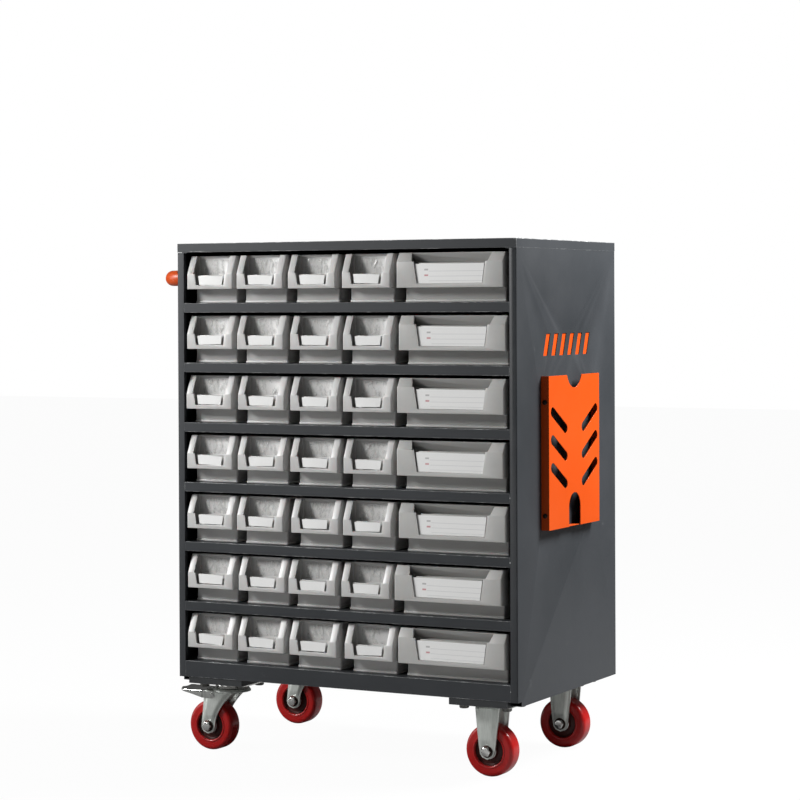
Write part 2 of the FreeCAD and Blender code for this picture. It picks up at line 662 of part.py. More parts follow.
def parts_bin(shape, middle, floor):
    """One open-topped bin with a hooded pull at the front, built at its place.

    Distances along Y are counted back from the hood's face; heights up from the bin's underside.
    """
    front = HOOD_FRONT
    body = shape["body"] / 2
    hood = shape["hood"] / 2
    top = floor + BIN_HEIGHT
    wall_y = front + HOOD_DEPTH
    back_y = front + BIN_LENGTH
    outside = block((middle - body, middle + body), (wall_y, back_y), (floor, top))
    hollow = block((middle - body + BIN_WALL, middle + body - BIN_WALL),
                   (wall_y + BIN_WALL, back_y - BIN_WALL), (floor + BIN_WALL, top))
    pieces = [outside.cut(hollow)]

    hood_low = floor + HOOD_BOTTOM
    fold = floor + shape["fold"]
    plate = block((middle - hood, middle + hood), (front, front + BIN_WALL), (hood_low, fold))
    slot_low = hood_low + HOOD_LIP
    slot = prism_y([
        (middle - shape["slot_low"] / 2, slot_low),
        (middle + shape["slot_low"] / 2, slot_low),
        (middle + shape["slot_high"] / 2, fold),
        (middle - shape["slot_high"] / 2, fold),
    ], front - BIN_WALL, front + 2 * BIN_WALL)
    pieces.append(plate.cut(slot))
    pieces.append(block((middle - hood, middle + hood), (front, wall_y), (hood_low, hood_low + BIN_WALL)))

    wing_outline = [(front, hood_low), (front, fold), (front + shape["setback"], top),
                    (wall_y, top), (wall_y, hood_low)]
    inner = hood - shape["wing"]
    inner_top = hood - shape["wing_top"]
    for side in (-1, 1):
        edge = sorted([middle + side * inner, middle + side * hood])
        wing = prism_x(wing_outline, edge[0], edge[1])
        pocket_x = sorted([middle + side * (inner - BIN_WALL), middle + side * (hood - BIN_WALL)])
        pocket = prism_x([
            (front + BIN_WALL, hood_low + BIN_WALL),
            (front + BIN_WALL, fold),
            (front + shape["setback"] + BIN_WALL, top - BIN_WALL),
            (wall_y - BIN_WALL, top - BIN_WALL),
            (wall_y - BIN_WALL, hood_low + BIN_WALL),
        ], pocket_x[0], pocket_x[1])
        wing = wing.cut(pocket)
        if shape["wing_top"] < shape["wing"]:
            wing = wing.cut(prism_y([
                (middle + side * inner, fold),
                (middle + side * inner_top, top),
                (middle + side * inner_top, top + BIN_WALL),
                (middle + side * inner, top + BIN_WALL),
            ], front - BIN_WALL, wall_y + BIN_WALL))
        pieces.append(wing)

    rail = shape["slot_low"] / 2
    rail_y = front + CARD_RAIL_START
    pieces.append(block((middle - rail, middle + rail), (rail_y, rail_y + CARD_RAIL),
                        (hood_low, fold - 2.0)))

    if shape["wall_setback"] < HOOD_DEPTH:
        slope = [
            (front + shape["wall_setback"], top),
            (front + shape["wall_setback"] + BIN_WALL, top),
            (wall_y + BIN_WALL, fold - BIN_WALL),
            (wall_y, fold - BIN_WALL),
        ]
        pieces.append(prism_x(slope, middle - inner_top, middle + inner_top))
        open_front = block((middle - inner_top, middle + inner_top),
                           (wall_y, wall_y + BIN_WALL), (fold, top))
        pieces[0] = pieces[0].cut(open_front)
    return fused(pieces)


def small_bin_middle(column):
    """X of a small bin; column 1 is on the left."""
    left_edge = -(SMALL_COLUMNS + 2) * UNIT_PITCH / 2
    return left_edge + (column - 0.5) * UNIT_PITCH


LARGE_BIN_MIDDLE = 2 * UNIT_PITCH


def bins():
    """Every bin by its node name."""
    made = {}
    for row in range(1, ROWS + 1):
        floor = shelf_top(row) + BIN_LIFT
        for column in range(1, SMALL_COLUMNS + 1):
            name = f"small_drawer_r{row}_c{column}"
            made[name] = parts_bin(SMALL_BIN, small_bin_middle(column), floor)
        made[f"large_drawer_r{row}"] = parts_bin(LARGE_BIN, LARGE_BIN_MIDDLE, floor)
    return made


# ---------------------------------------------------------------- the whole object
def all_nodes():
    """Node name to shape, in the cabinet's own frame."""
    trailing_x = -CASTER_X - TRAIL
    nodes = {
        "left_side_panel": side_panel(),
        "right_side_panel": right_side_panel(),
        "top_cover": top_cover(),
        "back_panel": back_panel(),
        "base_panel": base_panel(),
        "shelves": shelves(),
        "caster_mounts": caster_mounts(),
        "push_handle": push_handle(),
        "side_pocket": side_pocket(),
        "accent_plate": accent_plate(),
        "panel_screws": panel_screws(),
        "caster_bolts": caster_bolts(),
        "rigid_forks": group([rigid_fork(-CASTER_Y), rigid_fork(CASTER_Y)]),
        "rigid_axles": group([axle(CASTER_X, -CASTER_Y), axle(CASTER_X, CASTER_Y)]),
        "swivel_top_plates": group([swivel_top_plate(-CASTER_Y), swivel_top_plate(CASTER_Y)]),
    }
    for end, y in (("front", -CASTER_Y), ("rear", CASTER_Y)):
        nodes[f"swivel_fork_{end}"] = swivel_fork(y)
        nodes[f"swivel_axle_{end}"] = axle(trailing_x, y)
        nodes[f"brake_pedal_{end}"] = brake_pedal(y)
        nodes[f"wheel_{end}_left"] = wheel(trailing_x, y)
        nodes[f"wheel_{end}_right"] = wheel(CASTER_X, y)
    nodes.update(bins())
    return nodes


NODES = all_nodes()
WHOLE = Part.makeCompound(list(NODES.values())).optimalBoundingBox(False, False)
SHIFT = FreeCAD.Vector(-WHOLE.Center.x, -WHOLE.Center.y, -WHOLE.ZMin)

for node_name, node_shape in NODES.items():
    moved = node_shape.copy()
    moved.translate(SHIFT)
    moved.exportStep(f"parts/{node_name}.step")

print(f"{len(NODES)} nodes, {WHOLE.XLength:.1f} x {WHOLE.YLength:.1f} x {WHOLE.ZLength:.1f} mm")
print(f"shift x {SHIFT.x:.2f}, y {SHIFT.y:.2f}, z {SHIFT.z:.2f}")
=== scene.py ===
# %% [markdown]
# # A parts organizer
# A cabinet of folded steel sheet on four casters, with seven rows of pull-out plastic bins.
# The frame gives every part of the cabinet at its real size and place.  This file gives each
# surface its finish, and builds in numpy the pieces whose rounded shapes make them look real.

# %% Load the frame
import math

import bmesh
import bpy
import numpy as np
from mathutils import Matrix, Vector


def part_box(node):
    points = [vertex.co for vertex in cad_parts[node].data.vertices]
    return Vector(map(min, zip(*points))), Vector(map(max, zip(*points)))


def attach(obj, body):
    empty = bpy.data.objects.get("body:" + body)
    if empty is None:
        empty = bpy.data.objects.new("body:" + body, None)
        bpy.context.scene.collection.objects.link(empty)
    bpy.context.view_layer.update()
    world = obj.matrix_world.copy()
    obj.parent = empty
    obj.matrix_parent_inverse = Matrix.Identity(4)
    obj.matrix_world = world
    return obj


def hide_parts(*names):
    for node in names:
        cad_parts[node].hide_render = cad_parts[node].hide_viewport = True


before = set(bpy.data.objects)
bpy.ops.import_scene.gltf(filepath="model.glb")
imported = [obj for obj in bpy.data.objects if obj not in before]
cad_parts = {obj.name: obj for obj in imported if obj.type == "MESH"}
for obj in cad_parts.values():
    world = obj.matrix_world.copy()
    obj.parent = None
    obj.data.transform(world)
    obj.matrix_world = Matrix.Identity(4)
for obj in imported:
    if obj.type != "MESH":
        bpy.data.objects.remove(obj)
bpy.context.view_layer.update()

MM = 0.001
MERGE_DISTANCE = 0.01 * MM
FLAT_ANGLE = math.radians(1.0)

# %% [markdown]
# ## Where things are
# The frame already knows where each part is, so places are read from its boxes.  Here the
# box of the top cover gives the middle of the cabinet, and the faces that others refer to.

# %% Places taken from the frame
cover_low, cover_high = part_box("top_cover")
MIDDLE = (cover_low + cover_high) / 2
FRONT_FACE = cover_low.y
RIGHT_FACE = cover_high.x
LEFT_FACE = cover_low.x
TOP = cover_high.z
ROWS = range(1, 8)
SMALL_COLUMNS = range(1, 5)
print("middle of the cabinet", tuple(round(c, 4) for c in MIDDLE), "top", round(TOP, 3))

# %% [markdown]
# ## Surfaces from numbers
# A new piece is one or more surfaces.  Each surface is an array of points on a grid and the
# quads between them, so a shape is written as a formula over whole arrays, with no loop
# over points.  The helpers below turn grids into meshes.


# %% Grids and meshes
def grid_quads(rows, columns, close_rows=False, close_columns=False):
    """Quads between neighbours of a rows by columns grid: point, next in row, both one row on."""
    row, column = np.meshgrid(np.arange(rows if close_rows else rows - 1),
                              np.arange(columns if close_columns else columns - 1), indexing="ij")
    next_row = (row + 1) % rows
    next_column = (column + 1) % columns
    corners = [row * columns + column, row * columns + next_column,
               next_row * columns + next_column, next_row * columns + column]
    return np.stack(corners, -1).reshape(-1, 4).tolist()


def closed_loops(loops):
    """A skin over a stack of closed loops, with a flat face over the first and the last."""
    rows, columns, _ = loops.shape
    faces = grid_quads(rows, columns, close_columns=True)
    first = list(range(columns))
    last = list(range((rows - 1) * columns, rows * columns))
    return loops.reshape(-1, 3), faces + [first[::-1], last]


def ring_of_loops(loops):
    """A skin over a stack of closed loops whose last loop joins the first, as on a tyre."""
    rows, columns, _ = loops.shape
    return loops.reshape(-1, 3), grid_quads(rows, columns, close_rows=True, close_columns=True)


def slab(front, offset):
    """A sheet with thickness: a grid, the same grid moved by offset, and a rim between them."""
    rows, columns, _ = front.shape
    count = rows * columns
    index = np.arange(count).reshape(rows, columns)
    edge = np.concatenate([index[0, :-1], index[:-1, -1], index[-1, :0:-1], index[:0:-1, 0]])
    after = np.roll(edge, -1)
    rim = np.stack([edge, after, after + count, edge + count], -1).tolist()
    faces = grid_quads(rows, columns)
    back = [[corner + count for corner in face[::-1]] for face in faces]
    points = np.concatenate([front.reshape(-1, 3), (front + offset).reshape(-1, 3)])
    return points, faces + back + rim


def joined(surfaces):
    """Several surfaces as one list of points and faces."""
    points = []
    faces = []
    start = 0
    for surface_points, surface_faces in surfaces:
        points.append(np.asarray(surface_points, float))
        faces += [[corner + start for corner in face] for face in surface_faces]
        start += len(surface_points)
    return np.concatenate(points), faces


def make_piece(name, surface, material, body, smooth_angle=40.0):
    """Puts a surface into a mesh, points its faces outwards, and lets it ride on a body."""
    points, faces = surface
    mesh = bpy.data.meshes.new(name)
    mesh.from_pydata(points.tolist(), [], faces)
    tidy = bmesh.new()
    tidy.from_mesh(mesh)
    bmesh.ops.remove_doubles(tidy, verts=tidy.verts, dist=MERGE_DISTANCE)
    bmesh.ops.recalc_face_normals(tidy, faces=tidy.faces)
    tidy.to_mesh(mesh)
    tidy.free()
    mesh.materials.append(material)
    mesh.shade_smooth()
    mesh.set_sharp_from_angle(angle=math.radians(smooth_angle))
    piece = bpy.data.objects.new(name, mesh)
    bpy.context.scene.collection.objects.link(piece)
    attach(piece, body)
    return piece


def round_edges(piece, width, segments=2, angle=35.0, edge_material=None):
    """A Bevel modifier, which rounds sharp edges so that they catch the light."""
    bevel = piece.modifiers.new("round_edges", "BEVEL")
    bevel.width = width
    bevel.segments = segments
    bevel.limit_method = "ANGLE"
    bevel.angle_limit = math.radians(angle)
    bevel.use_clamp_overlap = True
    bevel.harden_normals = True
    if edge_material is not None:
        piece.data.materials.append(edge_material)
        bevel.material = len(piece.data.materials) - 1
    return bevel


# %% [markdown]
# Most shapes here are one of five kinds: a turned shape, a bar with a flat outline, a rounded
# rectangle stacked in height, a band round a rounded rectangle, and a tube.


# %% Shape formulas
def spokes(axis, steps):
    """Unit directions round an axis: the cosine and sine of each angle on two cross directions."""
    side = np.array([0.0, 0.0, 1.0]) if abs(axis[2]) < 0.5 else np.array([1.0, 0.0, 0.0])
    up = np.cross(axis, side)
    turn = np.linspace(0, 2 * np.pi, steps, endpoint=False)
    return turn, np.cos(turn)[:, None] * side + np.sin(turn)[:, None] * up


def turned(profile, centre, axis, steps=48):
    """Each (radius, along) point of the profile becomes a circle round the axis."""
    axis = np.asarray(axis, float)
    profile = np.asarray(profile, float)
    ring = spokes(axis, steps)[1]
    return np.asarray(centre) + profile[:, 1, None, None] * axis + profile[:, 0, None, None] * ring


def in_mm(pairs, along_sign=1):
    """Profile points given in millimetres, in metres; a sign of -1 mirrors them along the axis."""
    return [(radius * MM, along_sign * along * MM) for radius, along in pairs]


def bar(outline, axis, low, high):
    """An outline in the two other axes, pushed from low to high along one axis."""
    outline = np.asarray(outline, float)
    ends = np.zeros((2, len(outline), 3))
    others = [i for i in range(3) if i != axis]
    ends[:, :, others[0]] = outline[:, 0]
    ends[:, :, others[1]] = outline[:, 1]
    ends[0, :, axis] = low
    ends[1, :, axis] = high
    return closed_loops(ends)


def rounded_rectangle(half_x, half_y, radius, steps=5):
    """Corner arcs of a rectangle, in order: each corner's centre plus radius at its angles."""
    quarter = np.linspace(0, np.pi / 2, steps)
    angle = quarter[None, :] + np.arange(4)[:, None] * np.pi / 2
    sign_x = np.array([1, -1, -1, 1])[:, None]
    sign_y = np.array([1, 1, -1, -1])[:, None]
    x = sign_x * (half_x - radius) + radius * np.cos(angle)
    y = sign_y * (half_y - radius) + radius * np.sin(angle)
    return np.stack([x.ravel(), y.ravel()], -1)


def stacked_rectangles(centre, half_x, half_y, radius, stations):
    """Rounded rectangles at the stations' (outset, height) pairs, as loops."""
    loops = []
    for outset, height in stations:
        outline = rounded_rectangle(half_x + outset, half_y + outset, max(radius + outset, 0.1 * MM))
        level = np.full((len(outline), 1), centre[2] + height)
        loops.append(np.concatenate([outline + np.asarray(centre[:2]), level], 1))
    return np.stack(loops)


def tube(path, radius, normal, sides=24):
    """A circle carried along a flat path: each ring lies across the path's direction there."""
    path = np.asarray(path, float)
    heading = np.gradient(path, axis=0)
    heading /= np.linalg.norm(heading, axis=1, keepdims=True)
    normal = np.asarray(normal, float)
    across = np.cross(heading, normal)
    turn = np.linspace(0, 2 * np.pi, sides, endpoint=False)
    ring = np.cos(turn)[None, :, None] * normal + np.sin(turn)[None, :, None] * across[:, None, :]
    return closed_loops(path[:, None, :] + radius * ring)


def hexagon_head(centre, axis, flats, height, steps=36):
    """A bolt head: six flats, a round chamfer on top, all as one distance from the axis.

    The distance to a flat at an angle is flats / 2 divided by the cosine of the angle from
    that flat's middle; near the top it is cut down to a circle.
    """
    axis = np.asarray(axis, float)
    turn, ring = spokes(axis, steps)
    from_flat = (turn + np.pi / 6) % (np.pi / 3) - np.pi / 6
    hexagon = flats / 2 / np.cos(from_flat)
    circle = flats / 2
    levels = [(0.0, hexagon), (0.72, hexagon), (0.86, np.minimum(hexagon, circle * 1.07)),
              (0.97, np.full(steps, circle * 0.95)), (1.0, np.full(steps, circle * 0.88))]
    loops = [np.asarray(centre) + share * height * axis + distance[:, None] * ring
             for share, distance in levels]
    return closed_loops(np.stack(loops))


# %% [markdown]
# ## Finishes
# A material is a small network of nodes.  The helpers add a node and connect it in one call.
# Effects that several finishes share are node groups, built once: the fine orange-peel of
# powder coat, scuffs, dust that settles on faces turned up, the skin of moulded plastic, and
# the grain of plated steel.


# %% Node helpers
def add_node(tree, kind, inputs=None, **settings):
    """One shader node; each input is given a value or another node's output socket."""
    made = tree.nodes.new(kind)
    for name, value in settings.items():
        setattr(made, name, value)
    for name, value in (inputs or {}).items():
        if isinstance(value, bpy.types.NodeSocket):
            tree.links.new(value, made.inputs[name])
        else:
            made.inputs[name].default_value = value
    return made


def noise(tree, place, scale, detail=3.0, roughness=0.5):
    """Soft random values, between 0 and 1."""
    inputs = {"Vector": place, "Scale": scale, "Detail": detail, "Roughness": roughness}
    return add_node(tree, "ShaderNodeTexNoise", inputs).outputs[0]


def remap(tree, value, from_low, from_high, to_low=0.0, to_high=1.0):
    """Stretches a range of values to another, and clamps what is outside."""
    inputs = {"Value": value, "From Min": from_low, "From Max": from_high,
              "To Min": to_low, "To Max": to_high}
    return add_node(tree, "ShaderNodeMapRange", inputs).outputs["Result"]


def arithmetic(tree, operation, first, second):
    """One sum, product or other operation on two values."""
    made = add_node(tree, "ShaderNodeMath", {0: first, 1: second}, operation=operation)
    return made.outputs[0]


def mixed(tree, share, first, second):
    """Two colours mixed; share 0 gives the first."""
    made = add_node(tree, "ShaderNodeMix", {0: share, 6: first, 7: second}, data_type="RGBA")
    return made.outputs[2]


def stretched(tree, place, factors):
    """A place scaled by a different factor along each axis."""
    made = add_node(tree, "ShaderNodeVectorMath", {0: place, 1: factors}, operation="MULTIPLY")
    return made.outputs[0]


def new_group(name, inputs, outputs):
    """An empty node group with named number inputs and number outputs."""
    group = bpy.data.node_groups.new(name, "ShaderNodeTree")
    for socket, value in inputs.items():
        made = group.interface.new_socket(name=socket, in_out="INPUT", socket_type="NodeSocketFloat")
        made.default_value = value
    for socket in outputs:
        group.interface.new_socket(name=socket, in_out="OUTPUT", socket_type="NodeSocketFloat")
    entry = group.nodes.new("NodeGroupInput")
    leave = group.nodes.new("NodeGroupOutput")
    place = group.nodes.new("ShaderNodeTexCoord").outputs["Object"]
    return group, entry, leave, place


def use_group(tree, group, inputs=None):
    """Places a node group in a material."""
    return add_node(tree, "ShaderNodeGroup", inputs, node_tree=group)


# %% Shared effects
def powder_group():
    """Powder coat: melted grains leave a fine orange peel and faint broad clouds."""
    group, entry, leave, place = new_group("powder_coat_skin", {"Grain": 900.0}, ["Height", "Tone"])
    fine = noise(group, place, entry.outputs["Grain"], 2.0)
    broad = noise(group, place, 5.0, 4.0, 0.55)
    group.links.new(fine, leave.inputs["Height"])
    group.links.new(remap(group, broad, 0.3, 0.7), leave.inputs["Tone"])
    return group


def scuff_group():
    """Scuffs and rubbed patches: where a coarse noise and a fine one are both high."""
    group, entry, leave, place = new_group("scuffs", {"Amount": 0.5, "Scale": 60.0}, ["Mask"])
    patches = noise(group, place, entry.outputs["Scale"], 6.0, 0.7)
    threshold = arithmetic(group, "SUBTRACT", 1.0, entry.outputs["Amount"])
    top = arithmetic(group, "ADD", threshold, 0.12)
    inputs = {"Value": patches, "From Min": threshold, "From Max": top}
    mask = add_node(group, "ShaderNodeMapRange", inputs).outputs["Result"]
    group.links.new(mask, leave.inputs["Mask"])
    return group


def dust_group():
    """Dust: thin, patchy, and mostly on faces that look up."""
    group, entry, leave, place = new_group("dust", {"Up": 0.0, "Amount": 0.3}, ["Mask"])
    patchy = remap(group, noise(group, place, 25.0, 5.0, 0.65), 0.35, 0.75)
    facing = remap(group, entry.outputs["Up"], 0.2, 0.95, 0.12, 1.0)
    mask = arithmetic(group, "MULTIPLY", arithmetic(group, "MULTIPLY", patchy, facing),
                      entry.outputs["Amount"])
    group.links.new(mask, leave.inputs["Mask"])
    return group


def moulded_group():
    """Moulded plastic: a faint etched grain, flow clouds, and fine scratches along the bin."""
    group, entry, leave, place = new_group("moulded_skin", {"Grain": 1400.0},
                                           ["Height", "Tone", "Scratches"])
    fine = noise(group, place, entry.outputs["Grain"], 3.0, 0.6)
    clouds = noise(group, stretched(group, place, (14.0, 3.0, 30.0)), 1.0, 4.0, 0.6)
    lines = noise(group, stretched(group, place, (900.0, 60.0, 160.0)), 1.0, 2.0, 0.5)
    group.links.new(fine, leave.inputs["Height"])
    group.links.new(remap(group, clouds, 0.3, 0.7), leave.inputs["Tone"])
    group.links.new(remap(group, lines, 0.6, 0.72), leave.inputs["Scratches"])
    return group


def plated_group():
    """Zinc plating: long rolling grain and dull stains."""
    group, entry, leave, place = new_group("plated_steel", {"Grain": 500.0},
                                           ["Height", "Grain Tone", "Stain"])
    grain_place = stretched(group, place, (1.0, 1.0, 0.12))
    grain = noise(group, grain_place, entry.outputs["Grain"], 3.0, 0.6)
    stain = noise(group, place, 70.0, 5.0, 0.6)
    group.links.new(grain, leave.inputs["Height"])
    group.links.new(remap(group, grain, 0.35, 0.65), leave.inputs["Grain Tone"])
    group.links.new(remap(group, stain, 0.45, 0.75), leave.inputs["Stain"])
    return group


POWDER = powder_group()
SCUFFS = scuff_group()
DUST = dust_group()
MOULDED = moulded_group()
PLATED = plated_group()
print("shared effects:", [group.name for group in bpy.data.node_groups])


# %% [markdown]
# Each finish below is one Principled shader.  Its steady values are set on the shader's own
# sockets; only what varies over the surface comes through the nodes.


# %% Material starters
def new_material(name, **sockets):
    """A Principled material, with its steady sockets set by name."""
    material = bpy.data.materials.new(name)
    material.use_nodes = True
    tree = material.node_tree
    shader = tree.nodes["Principled BSDF"]
    for socket, value in sockets.items():
        shader.inputs[socket.replace("_", " ")].default_value = value
    return material, tree, shader


def bumped(tree, shader, height, strength, distance):
    """Connects a height to the shader's normal through a Bump node."""
    inputs = {"Height": height, "Strength": strength, "Distance": distance}
    bump = add_node(tree, "ShaderNodeBump", inputs)
    tree.links.new(bump.outputs["Normal"], shader.inputs["Normal"])


def facing_up(tree):
    """How much a face looks up: the Z part of its normal."""
    normal = tree.nodes.new("ShaderNodeNewGeometry").outputs["Normal"]
    return add_node(tree, "ShaderNodeSeparateXYZ", {0: normal}).outputs["Z"]


def colour(red, green, blue):
    """An opaque linear colour."""
    return (red, green, blue, 1.0)


# %% Powder coat
def powder_coat(name, dark, light, rubbed, scuff_amount, roughness, dust_amount):
    """Powder coat in two close tones, rubbed lighter in patches, with a little dust."""
    material, tree, shader = new_material(name, Specular_IOR_Level=0.38)
    skin = use_group(tree, POWDER)
    scuffs = use_group(tree, SCUFFS, {"Amount": scuff_amount, "Scale": 45.0})
    dust = use_group(tree, DUST, {"Up": facing_up(tree), "Amount": dust_amount})
    paint = mixed(tree, skin.outputs["Tone"], dark, light)
    paint = mixed(tree, scuffs.outputs["Mask"], paint, rubbed)
    paint = mixed(tree, dust.outputs["Mask"], paint, colour(0.42, 0.42, 0.4))
    tree.links.new(paint, shader.inputs["Base Color"])
    gloss = remap(tree, skin.outputs["Tone"], 0.0, 1.0, roughness - 0.05, roughness + 0.06)
    gloss = arithmetic(tree, "ADD", gloss, arithmetic(tree, "MULTIPLY", dust.outputs["Mask"], 0.3))
    tree.links.new(gloss, shader.inputs["Roughness"])
    bumped(tree, shader, skin.outputs["Height"], 0.35, 0.00012)
    return material


ANTHRACITE = powder_coat("cabinet_powder_coat", colour(0.022, 0.025, 0.0285), colour(0.028, 0.031, 0.0355),
                         colour(0.06, 0.064, 0.068), 0.33, 0.46, 0.05)
# The edge coats are these paints made much lighter: a painted highlight along every rounded fold, with rubbed
# patches of real wear.
ANTHRACITE_EDGE_HIGHLIGHT_AND_WEAR = powder_coat("cabinet_edge_highlight_and_wear", colour(0.085, 0.09, 0.094), colour(0.13, 0.135, 0.14),
                              colour(0.45, 0.46, 0.46), 0.5, 0.4, 0.05)
# A darker copy of the cabinet coat for the channels under the cabinet: painted shade.
CHANNEL_COAT_PAINTED_SHADE = powder_coat("channel_coat_painted_shade", colour(0.020, 0.022, 0.024), colour(0.026, 0.028, 0.030),
                           colour(0.045, 0.048, 0.05), 0.36, 0.5, 0.06)
ORANGE = powder_coat("orange_powder_coat", colour(0.50, 0.056, 0.0025), colour(0.55, 0.066, 0.003),
                     colour(0.9, 0.16, 0.03), 0.3, 0.32, 0.02)
# A lighter orange for the rounded folds: painted highlight, with rubbed patches of real wear.
ORANGE_EDGE_HIGHLIGHT_AND_WEAR = powder_coat("orange_edge_highlight_and_wear", colour(0.72, 0.09, 0.008), colour(0.85, 0.14, 0.02),
                          colour(1.0, 0.35, 0.14), 0.42, 0.32, 0.0)
PRIMER = powder_coat("bare_primer", colour(0.42, 0.43, 0.43), colour(0.62, 0.63, 0.63),
                     colour(0.2, 0.2, 0.2), 0.4, 0.6, 0.0)
print("powder coats made")


# %% [markdown]
# The bins are polypropylene: a soft, slightly waxy grey.  A little light enters it, which a
# small subsurface share gives.  The small bins are a lighter batch than the large ones.


# %% Bin plastic
def bin_plastic(name, dark, light, roughness):
    """Moulded grey plastic with flow clouds, hairline scratches and handling dust."""
    material, tree, shader = new_material(name, Subsurface_Weight=0.06, Subsurface_Scale=0.003)
    skin = use_group(tree, MOULDED)
    dust = use_group(tree, DUST, {"Up": facing_up(tree), "Amount": 0.22})
    scuffs = use_group(tree, SCUFFS, {"Amount": 0.36, "Scale": 110.0})
    plastic = mixed(tree, skin.outputs["Tone"], dark, light)
    lines = arithmetic(tree, "MULTIPLY", skin.outputs["Scratches"], 0.08)
    plastic = mixed(tree, lines, plastic, colour(0.6, 0.6, 0.58))
    soiled = arithmetic(tree, "MULTIPLY", scuffs.outputs["Mask"], 0.2)
    plastic = mixed(tree, soiled, plastic, colour(0.16, 0.155, 0.15))
    plastic = mixed(tree, dust.outputs["Mask"], plastic, colour(0.5, 0.49, 0.47))
    tree.links.new(plastic, shader.inputs["Base Color"])
    gloss = remap(tree, skin.outputs["Tone"], 0.0, 1.0, roughness - 0.05, roughness + 0.07)
    tree.links.new(gloss, shader.inputs["Roughness"])
    height = arithmetic(tree, "ADD", skin.outputs["Height"],
                        arithmetic(tree, "MULTIPLY", skin.outputs["Scratches"], -0.5))
    bumped(tree, shader, height, 0.25, 0.0001)
    return material


SMALL_PLASTIC = bin_plastic("small_bin_plastic", colour(0.50, 0.495, 0.485), colour(0.56, 0.555, 0.545), 0.36)
LARGE_PLASTIC = bin_plastic("large_bin_plastic", colour(0.43, 0.426, 0.412), colour(0.47, 0.466, 0.452), 0.38)


# %% Plated steel
def plated_steel(name, bright, dull, roughness, stain_share, metallic=1.0):
    """Plated steel: metal whose tone and gloss follow its grain, dulled by stains."""
    material, tree, shader = new_material(name, Metallic=metallic)
    skin = use_group(tree, PLATED)
    metal = mixed(tree, skin.outputs["Grain Tone"], bright, dull)
    stain = arithmetic(tree, "MULTIPLY", skin.outputs["Stain"], stain_share)
    metal = mixed(tree, stain, metal, colour(0.16, 0.15, 0.13))
    tree.links.new(metal, shader.inputs["Base Color"])
    gloss = remap(tree, skin.outputs["Grain Tone"], 0.0, 1.0, roughness - 0.06, roughness + 0.06)
    gloss = arithmetic(tree, "ADD", gloss, arithmetic(tree, "MULTIPLY", stain, 0.35))
    tree.links.new(gloss, shader.inputs["Roughness"])
    bumped(tree, shader, skin.outputs["Height"], 0.3, 0.00008)
    return material


ZINC = plated_steel("zinc_plated_steel", colour(0.66, 0.69, 0.655), colour(0.57, 0.60, 0.565),
                    0.40, 0.12, metallic=0.7)
BRIGHT_ZINC = plated_steel("bright_plated_steel", colour(0.86, 0.86, 0.84), colour(0.7, 0.7, 0.68), 0.2, 0.3)
PEDAL_ZINC = plated_steel("pedal_zinc", colour(0.62, 0.63, 0.61), colour(0.50, 0.51, 0.49), 0.13, 0.08)
# Dark steel for the plate bolts under the cabinet: painted shade, darker than their plating.
BOLT_PAINTED_SHADE = plated_steel("bolt_steel_painted_shade", colour(0.2, 0.2, 0.19), colour(0.12, 0.12, 0.115), 0.45, 0.4)
BLACK_SCREW = plated_steel("blackened_screw", colour(0.05, 0.03, 0.025), colour(0.03, 0.02, 0.018), 0.5, 0.2)
BOLT_STEEL = plated_steel("bolt_steel", colour(0.6, 0.6, 0.58), colour(0.38, 0.38, 0.37), 0.3, 0.5)


# %% [markdown]
# The tyres are cast polyurethane, a deep glossy red with a clear surface, so they get a coat
# layer.  Their tread picks up dust and fine scuffs.  The core is a dark red-brown.


# %% Wheels, paper and film
def cast_urethane(name, dark, light, roughness, coat):
    """Cast polyurethane: even colour, glossy coat, scuffed and dusty in patches."""
    material, tree, shader = new_material(name, Coat_Weight=coat, Coat_Roughness=0.1, Specular_IOR_Level=0.3)
    skin = use_group(tree, MOULDED, {"Grain": 700.0})
    scuffs = use_group(tree, SCUFFS, {"Amount": 0.35, "Scale": 90.0})
    rubber = mixed(tree, skin.outputs["Tone"], dark, light)
    rubber = mixed(tree, arithmetic(tree, "MULTIPLY", scuffs.outputs["Mask"], 0.15), rubber,
                   colour(0.2, 0.06, 0.05))
    tree.links.new(rubber, shader.inputs["Base Color"])
    gloss = arithmetic(tree, "ADD", roughness,
                       arithmetic(tree, "MULTIPLY", scuffs.outputs["Mask"], 0.3))
    tree.links.new(gloss, shader.inputs["Roughness"])
    bumped(tree, shader, skin.outputs["Height"], 0.12, 0.0001)
    return material


RED_TYRE = cast_urethane("red_urethane", colour(0.34, 0.004, 0.004), colour(0.40, 0.006, 0.005), 0.34, 0.28)
WHEEL_CORE = cast_urethane("wheel_core", colour(0.045, 0.010, 0.008), colour(0.065, 0.013, 0.010), 0.5, 0.1)


